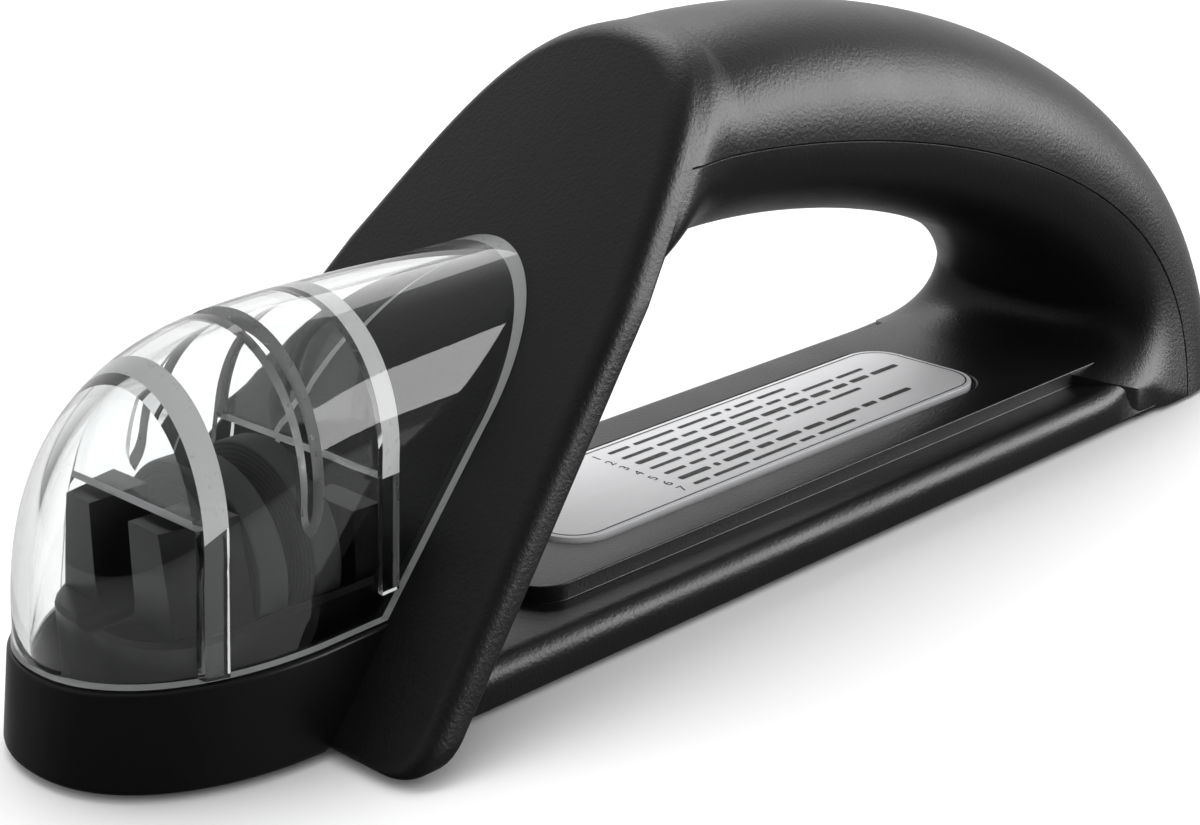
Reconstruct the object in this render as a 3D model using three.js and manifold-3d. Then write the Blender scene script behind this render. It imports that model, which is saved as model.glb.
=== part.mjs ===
// Hand-held knife sharpener: arched handle, leaning shield, water tray with two wheels, clear cover.
// Millimetres, +Z up, +X from the nose to the rear of the handle, origin under the middle of the length.
import * as THREE from "three";
import { mergeVertices } from "three/addons/utils/BufferGeometryUtils.js";
import Module from "manifold-3d";

const wasm = await Module();
wasm.setup();

// Overall sizes and fits
const LENGTH = 228;
const NOSE_X = -LENGTH / 2;
const REAR_X = LENGTH / 2;
const FOOT_DROP = 0.6;
const GAP = 0.3;
const RUNNING_GAP = 0.25;

// Tray
const NOSE_LENGTH = 28.2;
const NOSE_HALF_WIDTH = 20.2;
const NOSE_EXPONENT = 2.2;
const NOSE_TAPER = 0.05;
const TRAY_HEIGHT = 12.9;
const TRAY_SHOULDER = 0.5;
const TRAY_DRAFT = 1.2;
const TRAY_WALL = 4.3;
const TRAY_FLOOR = 1.8;
const TRAY_REAR_WALL = 1;
const NOSE_CENTRE_X = NOSE_X + NOSE_LENGTH;

// Shield
const SHIELD_SETBACK = 25.6;
const SHIELD_FOOT_X = NOSE_X + SHIELD_SETBACK;
const SHIELD_RUN = 0.974;
const SHIELD_THICKNESS = 4.3;
const SHIELD_HEIGHT = 72.9;
const SHIELD_FOOT_HALF_WIDTH = 35.1;
const SHIELD_SPRING_Z = 45;
const SHIELD_SPRING_HALF_WIDTH = 25.4;
const SHIELD_CORNER = 6;
const SHIELD_EDGE = 1.4;
const SHIELD_SLOPE = Math.hypot(1, SHIELD_RUN);
const SHIELD_BACK_X = SHIELD_FOOT_X + SHIELD_THICKNESS * SHIELD_SLOPE;

// Handle
const GRIP_TOP_Z = SHIELD_HEIGHT;
const GRIP_DEPTH = 26.6;
const GRIP_UNDER_Z = GRIP_TOP_Z - GRIP_DEPTH;
const GRIP_CROWN = 3.2;
const GRIP_DIP = 1.4;
const SEAM_FOOT = 48;
const SEAM_DEPTH = 29.4;
const GRIP_HALF_WIDTH = 18;
const GRIP_FLARE = 2.3;
const LEG_HALF_WIDTH = 21.8;
const FOOT_FLARE = 4.6;
const SHELL_WALL = 3;
const GRIP_EXPONENT = 2.05;
const FLARE_EXPONENT = 2.6;
const TOE_EXPONENT = 3.4;
const INNER_START = 5;
const LEG_DEPTH = 35.4;
const INNER_REAR_X = REAR_X - LEG_DEPTH;
const INNER_REAR_Z = 14.6;
const LEG_TOE = 13;
const GRIP_STATIONS = 30;
const ARC_POINTS = 18;

// Base deck
const DECK_HALF_WIDTH = 25.8;
const DECK_TURN = 34;
const DECK_TURN_X = REAR_X - DECK_TURN;
const FLANGE_HEIGHT = 6.4;
const FLANGE_EDGE = 2;
const FLANGE_SWEEP_START = 37;
const FLANGE_SWEEP_X = REAR_X - FLANGE_SWEEP_START;
const FLANGE_SWEEP_RUN = 22;
const FLANGE_SWEEP = 4.5;
const PLATFORM_HEIGHT = 8.7;
const PLATFORM_HALF_WIDTH = 18.6;
const PLATFORM_SETBACK = 37.4;
const PLATFORM_FRONT_X = SHIELD_FOOT_X + PLATFORM_SETBACK;
const PLATFORM_END = 22;
const PLATFORM_REAR_X = REAR_X - PLATFORM_END;
const PLATFORM_CORNER = 5;
const PLATFORM_EDGE = 1.4;

// Label
const LABEL_SETBACK = 13;
const LABEL_FRONT_X = PLATFORM_FRONT_X + LABEL_SETBACK;
const LABEL_END = 60;
const LABEL_REAR_X = REAR_X - LABEL_END;
const LABEL_HALF_WIDTH = 11.4;
const LABEL_CORNER = 6;
const LABEL_THICKNESS = 0.9;
const LABEL_RECESS = 0.8;

// Base plate, screws and feet
const PLATE_THICKNESS = 2.6;
const PLATE_LIFT = 0.2;
const PLATE_HALF_WIDTH = 15;
const PLATE_SETBACK = 7;
const PLATE_FRONT_X = NOSE_X + PLATE_SETBACK;
const PLATE_END = 26;
const PLATE_REAR_X = REAR_X - PLATE_END;
const PLATE_CORNER = 6;
const PLATE_BOTTOM = FOOT_DROP + PLATE_LIFT;
const PLATE_TOP = PLATE_BOTTOM + PLATE_THICKNESS;
const PLATE_CEILING = PLATE_TOP + GAP;
const SCREW_RADIUS = 1.4;
const SCREW_HEAD_RADIUS = 2.7;
const SCREW_HEAD = 1.3;
const DECK_SCREW_LENGTH = 5;
const TRAY_SCREW_LENGTH = 9;
const SCREW_CLEARANCE = 0.3;
const FOOT_RADIUS = 4.5;
const FOOT_DEPTH = 1.8;
const TRAY_SCREW_SETBACK = 13.2;
const TRAY_SCREW_X = NOSE_X + TRAY_SCREW_SETBACK;
const TRAY_SCREW_Y = 5.5;
const DECK_SCREW_Y = 11;
const FRONT_SCREW_SETBACK = 44.4;
const FRONT_SCREW_X = SHIELD_FOOT_X + FRONT_SCREW_SETBACK;
const REAR_SCREW_END = 54;
const REAR_SCREW_X = REAR_X - REAR_SCREW_END;
const FOOT_Y = 9;
const FRONT_FOOT_SETBACK = 22;
const MIDDLE_FOOT_SETBACK = 58.4;
const REAR_FOOT_END = 34;
const FEET_X = [
  NOSE_X + FRONT_FOOT_SETBACK,
  SHIELD_FOOT_X + MIDDLE_FOOT_SETBACK,
  REAR_X - REAR_FOOT_END,
];
const SIDES = [1, -1];
const FEET = FEET_X.flatMap((x) => SIDES.map((side) => [x, side * FOOT_Y]));
const DECK_SCREWS = [FRONT_SCREW_X, REAR_SCREW_X].flatMap((x) =>
  SIDES.map((side) => [x, side * DECK_SCREW_Y]),
);

// Wheels and axle
const WHEEL_RADIUS = 12.5;
const WHEEL_SETBACK = 4.3;
const WHEEL_CENTRE_X = SHIELD_FOOT_X + WHEEL_SETBACK;
const AXLE_Z = 19.9;
const AXLE_RADIUS = 3.6;
const WHEEL_VEE = 2;
const WHEEL_RIM = 4;
const WHEEL_CHAMFER = 0.7;
const HUB_RADIUS = 6.8;
const HUB_HALF_GAP = 0.8;
const BUSH_WALL = 1;
const WASHER_THICKNESS = 0.8;
const WHEEL_OUTER = WHEEL_VEE + WHEEL_RIM;
const WHEEL_ROOM = 0.8;

// Cradle
const CRADLE_TIER_Z = 17;
const CRADLE_SETBACK = 8.8;
const CRADLE_FRONT_X = NOSE_X + CRADLE_SETBACK;
const CRADLE_SIDE_ROOM = 2.3;
const CRADLE_HALF_WIDTH = NOSE_HALF_WIDTH - TRAY_WALL - CRADLE_SIDE_ROOM;
const CRADLE_CORNER = 9.4;
const CRADLE_WALL = 4;
const CRADLE_WALL_TOP = 26;
const CRADLE_WALL_STEP = 0.7;
const CRADLE_WALL_HALF_WIDTH = CRADLE_HALF_WIDTH - CRADLE_WALL_STEP;
const CRADLE_WELL_GAP = 0.5;

// Clear cover
const COVER_INSET = TRAY_DRAFT + TRAY_SHOULDER;
const COVER_BASE_Z = TRAY_HEIGHT + GAP;
const COVER_TOP_Z = 49.3;
const COVER_WALL = 2;
const COVER_SPRING_Z = 35;
const COVER_DRAFT = 1.6;
const COVER_RUN = 42.4;
const COVER_POWER = 2.4;
const SLOT_WIDTH = 4.4;
const SLOT_BOTTOM_Z = 27.5;
const WEB_THICKNESS = 2.4;
const WEB_BOTTOM_Z = 30;
const FRONT_WEB_REACH = 15.3;
const FRONT_WEB_X = WHEEL_CENTRE_X - FRONT_WEB_REACH;
const REAR_WEB_REACH = 10.1;
const REAR_WEB_X = WHEEL_CENTRE_X + REAR_WEB_REACH;
const WEB_LEG = 0.6;
const COVER_ARC = 30;
const LUG_SETBACK = 10.4;
const LUG_X = SHIELD_FOOT_X + LUG_SETBACK;
const LUG_LENGTH = 3.4;
const LUG_HEIGHT = 1.3;
const LUG_REACH = 0.9;

// Solids
function solid(geometry) {
  const bare = geometry.index ? geometry.toNonIndexed() : geometry.clone();
  bare.deleteAttribute("normal");
  bare.deleteAttribute("uv");
  const merged = mergeVertices(bare, 1e-4);
  return new wasm.Manifold(
    new wasm.Mesh({
      numProp: 3,
      vertProperties: merged.attributes.position.array,
      triVerts: new Uint32Array(merged.index.array),
    }),
  );
}

function geometryOf(body) {
  const mesh = body.getMesh();
  const count = mesh.numVert;
  const points = new Float32Array(count * 3);
  for (let i = 0; i < count; i++) {
    points.set(mesh.vertProperties.subarray(i * mesh.numProp, i * mesh.numProp + 3), i * 3);
  }
  const geometry = new THREE.BufferGeometry();
  geometry.setAttribute("position", new THREE.BufferAttribute(points, 3));
  geometry.setIndex(new THREE.BufferAttribute(mesh.triVerts, 1));
  geometry.computeVertexNormals();
  return geometry;
}

function box(x0, x1, y0, y1, z0, z1) {
  const geometry = new THREE.BoxGeometry(x1 - x0, y1 - y0, z1 - z0);
  geometry.translate((x0 + x1) / 2, (y0 + y1) / 2, (z0 + z1) / 2);
  return solid(geometry);
}

function rod(radius, x, y, z0, z1, sides = 24) {
  const geometry = new THREE.CylinderGeometry(radius, radius, z1 - z0, sides);
  geometry.rotateX(Math.PI / 2);
  geometry.translate(x, y, (z0 + z1) / 2);
  return solid(geometry);
}

// A body of revolution about the axle line; the profile lists [offset along +X, radius].
function turned(profile, x, sides = 48) {
  const points = profile.map(([along, radius]) => new THREE.Vector2(radius, along));
  const geometry = new THREE.LatheGeometry(points, sides);
  geometry.rotateZ(-Math.PI / 2);
  geometry.translate(x, 0, AXLE_Z);
  const body = solid(geometry);
  if (body.volume() > 0) {
    return body;
  }
  return turned([...profile].reverse(), x, sides);
}

// Share of the flange's rise towards the rear leg at a place along the length.
function flangeSweep(x) {
  const run = Math.min(1, Math.max(0, (x - FLANGE_SWEEP_X) / FLANGE_SWEEP_RUN));
  return run * run * (3 - 2 * run);
}

// Plan outlines stacked at rising heights; every outline has the same number of points.
function stacked(levels) {
  const points = [];
  const faces = [];
  const count = levels[0].outline.length;
  for (const level of levels) {
    for (const p of level.outline) {
      points.push(p.x, p.y, level.z + (level.sweep || 0) * flangeSweep(p.x));
    }
  }
  for (let k = 0; k + 1 < levels.length; k++) {
    for (let i = 0; i < count; i++) {
      const j = (i + 1) % count;
      const a = k * count + i;
      const b = k * count + j;
      faces.push(a, b, b + count, a, b + count, a + count);
    }
  }
  const last = (levels.length - 1) * count;
  for (const [a, b, c] of THREE.ShapeUtils.triangulateShape(levels[0].outline, [])) {
    faces.push(c, b, a);
  }
  for (const [a, b, c] of THREE.ShapeUtils.triangulateShape(levels.at(-1).outline, [])) {
    faces.push(last + a, last + b, last + c);
  }
  return closed(points, faces);
}

function closed(points, faces) {
  const geometry = new THREE.BufferGeometry();
  geometry.setAttribute("position", new THREE.Float32BufferAttribute(points, 3));
  geometry.setIndex(faces);
  const body = solid(geometry);
  if (body.volume() > 0) {
    return body;
  }
  const turnedFaces = [];
  for (let i = 0; i < faces.length; i += 3) {
    turnedFaces.push(faces[i], faces[i + 2], faces[i + 1]);
  }
  geometry.setIndex(turnedFaces);
  return solid(geometry);
}

// Everything in front of (lower X) or behind the leaning plane that meets the ground at footX.
function leaningHalf(footX, behind) {
  const size = 2 * LENGTH;
  const geometry = new THREE.BoxGeometry(size, size, size);
  geometry.translate(behind ? size / 2 : -size / 2, 0, 0);
  geometry.rotateY(Math.atan(SHIELD_RUN));
  geometry.translate(footX, 0, 0);
  return solid(geometry);
}

// Plan outlines
function noseOutline(inset, rearX) {
  const points = [];
  const steps = 40;
  for (let i = 0; i <= steps; i++) {
    const angle = Math.PI / 2 + (Math.PI * i) / steps;
    const across = Math.sign(Math.sin(angle)) * Math.abs(Math.sin(angle)) ** (2 / NOSE_EXPONENT);
    const along = Math.abs(Math.cos(angle)) ** (2 / NOSE_EXPONENT);
    points.push(
      new THREE.Vector2(
        NOSE_CENTRE_X - (NOSE_LENGTH - inset) * along,
        (NOSE_HALF_WIDTH - inset) * across,
      ),
    );
  }
  const rearHalf = NOSE_HALF_WIDTH - inset - NOSE_TAPER * (rearX - NOSE_CENTRE_X);
  points.push(new THREE.Vector2(rearX, -rearHalf));
  points.push(new THREE.Vector2(rearX, rearHalf));
  return points;
}

function noseStack(levels, rearX) {
  return stacked(levels.map(([z, inset]) => ({ z, outline: noseOutline(inset, rearX) })));
}

function deckOutline(inset) {
  const points = [];
  const steps = 32;
  const frontX = SHIELD_FOOT_X;
  const half = DECK_HALF_WIDTH - inset;
  const sideXs = [frontX];
  const sideSteps = 8;
  for (let i = 0; i < sideSteps; i++) {
    sideXs.push(FLANGE_SWEEP_X + ((DECK_TURN_X - FLANGE_SWEEP_X) * i) / sideSteps);
  }
  for (const x of sideXs) {
    points.push(new THREE.Vector2(x, -half));
  }
  for (let i = 0; i <= steps; i++) {
    const angle = -Math.PI / 2 + (Math.PI * i) / steps;
    const reach = REAR_X - DECK_TURN_X - inset;
    points.push(new THREE.Vector2(DECK_TURN_X + reach * Math.cos(angle), half * Math.sin(angle)));
  }
  for (const x of sideXs.reverse()) {
    points.push(new THREE.Vector2(x, half));
  }
  return points;
}

function roundedBar(x0, x1, half, corner) {
  const points = [];
  const steps = 6;
  const centres = [
    [x1 - corner, half - corner, 0],
    [x0 + corner, half - corner, Math.PI / 2],
    [x0 + corner, -half + corner, Math.PI],
    [x1 - corner, -half + corner, Math.PI * 1.5],
  ];
  for (const [cx, cy, start] of centres) {
    for (let i = 0; i <= steps; i++) {
      const angle = start + (Math.PI / 2) * (i / steps);
      points.push(
        new THREE.Vector2(cx + corner * Math.cos(angle), cy + corner * Math.sin(angle)),
      );
    }
  }
  return points;
}

function bar(x0, x1, half, corner, z0, z1) {
  const outline = roundedBar(x0, x1, half, corner);
  return stacked([
    { z: z0, outline },
    { z: z1, outline },
  ]);
}

// Side view of the handle: outer line, inner line and the seam half way between them
function cubic(a, b, c, d, t) {
  const s = 1 - t;
  return a * s ** 3 + 3 * b * s * s * t + 3 * c * s * t * t + d * t ** 3;
}

const shieldBackAt = (z) => SHIELD_BACK_X + SHIELD_RUN * z + GAP * SHIELD_SLOPE;
const START_TOP = { x: shieldBackAt(GRIP_TOP_Z), z: GRIP_TOP_Z };
const START_UNDER = { x: shieldBackAt(GRIP_UNDER_Z - GRIP_DIP), z: GRIP_UNDER_Z - GRIP_DIP };
const INNER_X = START_TOP.x - INNER_START;
const SEAM_FOOT_X = REAR_X - SEAM_FOOT;
const SEAM_UNDER_Z = GRIP_TOP_Z - SEAM_DEPTH;
const between = (a, b, share) => a + (b - a) * share;

function outerLine(t) {
  return {
    x: cubic(START_TOP.x, between(START_TOP.x, REAR_X, 0.4), REAR_X, REAR_X, t),
    z: cubic(GRIP_TOP_Z, GRIP_TOP_Z + GRIP_CROWN, GRIP_TOP_Z * 0.713, FOOT_DROP, t),
  };
}

function innerLine(t) {
  const bend = 0.8;
  const innerRun = INNER_REAR_X - INNER_X;
  if (t <= bend) {
    const u = t / bend;
    return {
      x: cubic(INNER_X, INNER_X + 0.32 * innerRun, INNER_X + 0.87 * innerRun, INNER_REAR_X, u),
      z: cubic(GRIP_UNDER_Z - GRIP_DIP, GRIP_UNDER_Z, GRIP_UNDER_Z * 0.72, INNER_REAR_Z, u),
    };
  }
  const u = (t - bend) / (1 - bend);
  return {
    x: INNER_REAR_X + 2 * u - (LEG_TOE + 2) * u * u,
    z: INNER_REAR_Z - (INNER_REAR_Z - PLATFORM_HEIGHT) * (1 - (1 - u) * (1 - u)),
  };
}

function seamLine(t) {
  const outer = outerLine(t);
  const seamRun = SEAM_FOOT_X - INNER_X;
  const inner = {
    x: cubic(INNER_X, INNER_X + 0.358 * seamRun, INNER_X + 1.348 * seamRun, SEAM_FOOT_X, t),
    z: cubic(SEAM_UNDER_Z, SEAM_UNDER_Z * 0.87, SEAM_UNDER_Z * 0.51, FOOT_DROP, t),
  };
  return { x: (outer.x + inner.x) / 2, z: (outer.z + inner.z) / 2 };
}

function station(t) {
  if (t < 0) {
    const f = 1 + t;
    const inner = innerLine(0);
    const seam = seamLine(0);
    const under = {
      x: START_UNDER.x + (inner.x - START_UNDER.x) * f,
      z: START_UNDER.z + (inner.z - START_UNDER.z) * f,
    };
    const first = {
      x: (START_TOP.x + START_UNDER.x) / 2,
      z: (START_TOP.z + START_UNDER.z) / 2,
    };
    return {
      outer: outerLine(0),
      inner: under,
      seam: { x: first.x + (seam.x - first.x) * f, z: first.z + (seam.z - first.z) * f },
      half: GRIP_HALF_WIDTH + GRIP_FLARE * (1 - f) ** 2.2,
      power: GRIP_EXPONENT + (FLARE_EXPONENT - GRIP_EXPONENT) * (1 - f) ** 2,
    };
  }
  return {
    outer: outerLine(t),
    inner: innerLine(t),
    seam: seamLine(t),
    half: GRIP_HALF_WIDTH + (LEG_HALF_WIDTH - GRIP_HALF_WIDTH) * t ** 2 + FOOT_FLARE * t ** 6,
    power: GRIP_EXPONENT + (TOE_EXPONENT - GRIP_EXPONENT) * t ** 5,
  };
}

// Half of the handle tube between the seam and one side line, with an even wall.
function halfTube(side, seamGap) {
  const stations = [];
  for (const t of [-1, -0.85, -0.7, -0.55, -0.35, -0.15]) {
    stations.push(station(t));
  }
  for (let i = 0; i <= GRIP_STATIONS; i++) {
    stations.push(station(i / GRIP_STATIONS));
  }
  const points = [];
  for (const s of stations) {
    const target = s[side];
    const depthX = target.x - s.seam.x;
    const depthZ = target.z - s.seam.z;
    const depth = Math.hypot(depthX, depthZ);
    const start = seamGap / depth;
    const power = side === "inner" ? s.power : GRIP_EXPONENT;
    for (const wall of [0, SHELL_WALL]) {
      for (let i = 0; i <= ARC_POINTS; i++) {
        const angle = (Math.PI * i) / ARC_POINTS;
        const across = Math.sign(Math.cos(angle)) * Math.abs(Math.cos(angle)) ** (2 / power);
        const out = Math.abs(Math.sin(angle)) ** (2 / power);
        const reach = start + (1 - start - wall / depth) * out;
        points.push(s.seam.x + depthX * reach, across * (s.half - wall), s.seam.z + depthZ * reach);
      }
    }
  }
  const arc = ARC_POINTS + 1;
  const ring = 2 * arc;
  const faces = [];
  const quad = (a, b, c, d) => faces.push(a, b, c, a, c, d);
  for (let k = 0; k + 1 < stations.length; k++) {
    const near = k * ring;
    const far = near + ring;
    for (let i = 0; i < ARC_POINTS; i++) {
      quad(near + i, near + i + 1, far + i + 1, far + i);
      quad(near + arc + i + 1, near + arc + i, far + arc + i, far + arc + i + 1);
    }
    quad(near + arc, near, far, far + arc);
    quad(near + ARC_POINTS, near + arc + ARC_POINTS, far + arc + ARC_POINTS, far + ARC_POINTS);
  }
  const end = (stations.length - 1) * ring;
  for (let i = 0; i < ARC_POINTS; i++) {
    quad(i + 1, i, arc + i, arc + i + 1);
    quad(end + i, end + i + 1, end + arc + i + 1, end + arc + i);
  }
  return closed(points, faces);
}

// Shield
function shieldBody() {
  const shape = new THREE.Shape();
  const up = (z) => z * SHIELD_SLOPE;
  const taper = (SHIELD_FOOT_HALF_WIDTH - SHIELD_SPRING_HALF_WIDTH) / SHIELD_SPRING_Z;
  const foot = SHIELD_FOOT_HALF_WIDTH - SHIELD_EDGE;
  const spring = SHIELD_SPRING_HALF_WIDTH - SHIELD_EDGE;
  const top = up(SHIELD_HEIGHT) - SHIELD_EDGE;
  const corner = SHIELD_CORNER;
  const low = up(FOOT_DROP) + SHIELD_EDGE;
  const shoulder = up(SHIELD_HEIGHT * 0.806);
  shape.moveTo(-foot + corner, low);
  shape.lineTo(foot - corner, low);
  shape.quadraticCurveTo(foot, low, foot - taper * corner, low + corner);
  shape.lineTo(spring, up(SHIELD_SPRING_Z));
  shape.bezierCurveTo(spring * 0.8, shoulder, spring * 0.7, top, 0, top);
  shape.bezierCurveTo(-spring * 0.7, top, -spring * 0.8, shoulder, -spring, up(SHIELD_SPRING_Z));
  shape.lineTo(-foot + taper * corner, low + corner);
  shape.quadraticCurveTo(-foot, low, -foot + corner, low);
  const geometry = new THREE.ExtrudeGeometry(shape, {
    depth: SHIELD_THICKNESS - 2 * SHIELD_EDGE,
    bevelEnabled: true,
    bevelSize: SHIELD_EDGE,
    bevelThickness: SHIELD_EDGE,
    bevelSegments: 3,
    curveSegments: 20,
  });
  geometry.translate(0, 0, SHIELD_EDGE);
  const slopeX = SHIELD_RUN / SHIELD_SLOPE;
  const slopeZ = 1 / SHIELD_SLOPE;
  const basis = new THREE.Matrix4().makeBasis(
    new THREE.Vector3(0, 1, 0),
    new THREE.Vector3(slopeX, 0, slopeZ),
    new THREE.Vector3(SHIELD_SLOPE, 0, 0),
  );
  geometry.applyMatrix4(basis);
  geometry.translate(SHIELD_FOOT_X, 0, 0);
  return solid(geometry).subtract(plateRoom()).subtract(wheelRoom());
}

// The base plate and the room its neighbours leave for it
function plateRoom() {
  return bar(
    PLATE_FRONT_X - GAP,
    PLATE_REAR_X + GAP,
    PLATE_HALF_WIDTH + GAP,
    PLATE_CORNER + GAP,
    FOOT_DROP - PLATE_THICKNESS,
    PLATE_CEILING,
  );
}

function screwSites() {
  const sites = DECK_SCREWS.map(([x, y], i) => ({
    name: `deck_screw_${i + 1}`,
    x,
    y,
    length: DECK_SCREW_LENGTH,
  }));
  sites.push({ name: "tray_screw_left", x: TRAY_SCREW_X, y: TRAY_SCREW_Y, length: TRAY_SCREW_LENGTH });
  sites.push({ name: "tray_screw_right", x: TRAY_SCREW_X, y: -TRAY_SCREW_Y, length: TRAY_SCREW_LENGTH });
  return sites;
}

const SCREW_SEAT_Z = PLATE_BOTTOM + SCREW_HEAD + 0.2;

function screwBody(site) {
  const head = rod(SCREW_HEAD_RADIUS, site.x, site.y, SCREW_SEAT_Z - SCREW_HEAD, SCREW_SEAT_Z, 20);
  const shank = rod(SCREW_RADIUS, site.x, site.y, SCREW_SEAT_Z - 0.4, SCREW_SEAT_Z + site.length, 16);
  const slot = SCREW_HEAD_RADIUS * 0.6;
  const cut = box(
    site.x - slot,
    site.x + slot,
    site.y - 0.4,
    site.y + 0.4,
    SCREW_SEAT_Z - SCREW_HEAD - 1,
    SCREW_SEAT_Z - SCREW_HEAD + 0.6,
  );
  const cross = box(
    site.x - 0.4,
    site.x + 0.4,
    site.y - slot,
    site.y + slot,
    SCREW_SEAT_Z - SCREW_HEAD - 1,
    SCREW_SEAT_Z - SCREW_HEAD + 0.6,
  );
  return head.add(shank).subtract(cut).subtract(cross);
}

function screwHoles(body) {
  let drilled = body;
  for (const site of screwSites()) {
    const top = SCREW_SEAT_Z + site.length + SCREW_CLEARANCE;
    drilled = drilled.subtract(
      rod(SCREW_RADIUS + SCREW_CLEARANCE, site.x, site.y, FOOT_DROP - 1, top, 16),
    );
  }
  return drilled;
}

function basePlateBody() {
  let plate = bar(
    PLATE_FRONT_X,
    PLATE_REAR_X,
    PLATE_HALF_WIDTH,
    PLATE_CORNER,
    PLATE_BOTTOM,
    PLATE_TOP,
  );
  plate = screwHoles(plate);
  for (const site of screwSites()) {
    const bore = SCREW_HEAD_RADIUS + SCREW_CLEARANCE;
    plate = plate.subtract(
      rod(bore, site.x, site.y, FOOT_DROP - 1, SCREW_SEAT_Z + SCREW_CLEARANCE, 20),
    );
  }
  for (const [x, y] of FEET) {
    plate = plate.subtract(rod(FOOT_RADIUS + GAP, x, y, -1, FOOT_DEPTH + GAP));
  }
  return plate;
}

function footBody(x, y) {
  const geometry = new THREE.CylinderGeometry(FOOT_RADIUS, FOOT_RADIUS - 0.4, FOOT_DEPTH, 24);
  geometry.rotateX(Math.PI / 2);
  geometry.translate(x, y, FOOT_DEPTH / 2);
  return solid(geometry);
}

// The rear wheel dips into a pocket in the shield and in the rear wall of the tray.
function wheelRoom() {
  const reach = WHEEL_OUTER + RUNNING_GAP + WASHER_THICKNESS;
  const radius = WHEEL_RADIUS + WHEEL_ROOM;
  return turned(
    [
      [-reach, 0],
      [-reach, radius],
      [reach, radius],
      [reach, 0],
    ],
    WHEEL_CENTRE_X,
  );
}

// Tray and cradle
const inFront = (clearance) => leaningHalf(SHIELD_FOOT_X - clearance * SHIELD_SLOPE, false);
const trayRearX = SHIELD_FOOT_X + SHIELD_RUN * (COVER_TOP_Z + 10);

function trayBody() {
  const outside = noseStack(
    [
      [FOOT_DROP, 0.8],
      [FOOT_DROP + 0.8, 0],
      [TRAY_HEIGHT - TRAY_SHOULDER, TRAY_DRAFT],
      [TRAY_HEIGHT - TRAY_SHOULDER * 0.5, TRAY_DRAFT + TRAY_SHOULDER * 0.13],
      [TRAY_HEIGHT - TRAY_SHOULDER * 0.13, TRAY_DRAFT + TRAY_SHOULDER * 0.5],
      [TRAY_HEIGHT, TRAY_DRAFT + TRAY_SHOULDER],
    ],
    trayRearX,
  );
  const water = noseStack(
    [
      [PLATE_CEILING + TRAY_FLOOR, TRAY_WALL],
      [TRAY_HEIGHT + 5, TRAY_WALL],
    ],
    trayRearX,
  ).intersect(inFront(GAP + TRAY_REAR_WALL));
  const tray = outside.intersect(inFront(GAP)).subtract(water).subtract(wheelRoom());
  return screwHoles(tray.subtract(plateRoom()));
}

const WELL_HALF_LENGTH = WHEEL_OUTER + RUNNING_GAP + WASHER_THICKNESS + RUNNING_GAP;

function cradleBody() {
  const floor = PLATE_CEILING + TRAY_FLOOR + GAP;
  const clearOfShield = GAP + TRAY_REAR_WALL + GAP;
  const tub = stacked(
    [
      [floor, 0],
      [CRADLE_TIER_Z - 0.6, 0],
      [CRADLE_TIER_Z, 0.6],
    ].map(([z, inset]) => ({
      z,
      outline: roundedBar(
        CRADLE_FRONT_X + inset,
        trayRearX,
        CRADLE_HALF_WIDTH - inset,
        CRADLE_CORNER - inset,
      ),
    })),
  ).intersect(inFront(clearOfShield));
  const front = WHEEL_CENTRE_X - WELL_HALF_LENGTH;
  const rear = WHEEL_CENTRE_X + WELL_HALF_LENGTH;
  const half = CRADLE_WALL_HALF_WIDTH;
  let cradle = tub;
  for (const [x0, x1] of [[front - CRADLE_WALL, front], [rear, rear + CRADLE_WALL]]) {
    cradle = cradle.add(box(x0, x1, -half, half, CRADLE_TIER_Z - 1, CRADLE_WALL_TOP));
  }
  const well = WHEEL_RADIUS + CRADLE_WELL_GAP;
  cradle = cradle.intersect(inFront(clearOfShield));
  const trough = turned(
    [
      [-WELL_HALF_LENGTH, 0],
      [-WELL_HALF_LENGTH, well],
      [WELL_HALF_LENGTH, well],
      [WELL_HALF_LENGTH, 0],
    ],
    WHEEL_CENTRE_X,
  );
  cradle = cradle.subtract(trough);
  cradle = cradle.subtract(box(front, rear, -well, well, AXLE_Z, CRADLE_WALL_TOP + 5));
  const seat = AXLE_RADIUS + RUNNING_GAP;
  const axleRoom = turned(
    [
      [-30, 0],
      [-30, seat],
      [30, seat],
      [30, 0],
    ],
    WHEEL_CENTRE_X,
  );
  const notch = box(front - 9, rear + 9, -seat, seat, AXLE_Z, CRADLE_WALL_TOP + 5);
  return screwHoles(cradle.subtract(axleRoom).subtract(notch));
}

// Wheels, axle and bearings
function wheelBody(direction) {
  const bore = AXLE_RADIUS + BUSH_WALL + 2 * RUNNING_GAP;
  const profile = [
    [HUB_HALF_GAP, bore],
    [WHEEL_OUTER, bore],
    [WHEEL_OUTER, WHEEL_RADIUS - WHEEL_CHAMFER],
    [WHEEL_OUTER - WHEEL_CHAMFER, WHEEL_RADIUS],
    [WHEEL_VEE, WHEEL_RADIUS],
    [WHEEL_VEE - WHEEL_CHAMFER * 0.5, WHEEL_RADIUS - WHEEL_CHAMFER * 0.5],
    [HUB_HALF_GAP, HUB_RADIUS],
    [HUB_HALF_GAP, bore],
  ].map(([along, radius]) => [along * direction, radius]);
  return turned(profile, WHEEL_CENTRE_X);
}

function bushBody(direction) {
  const inside = AXLE_RADIUS + RUNNING_GAP;
  const outside = inside + BUSH_WALL;
  const profile = [
    [HUB_HALF_GAP, inside],
    [WHEEL_OUTER, inside],
    [WHEEL_OUTER, outside],
    [HUB_HALF_GAP, outside],
    [HUB_HALF_GAP, inside],
  ].map(([along, radius]) => [along * direction, radius]);
  return turned(profile, WHEEL_CENTRE_X, 32);
}

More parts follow.
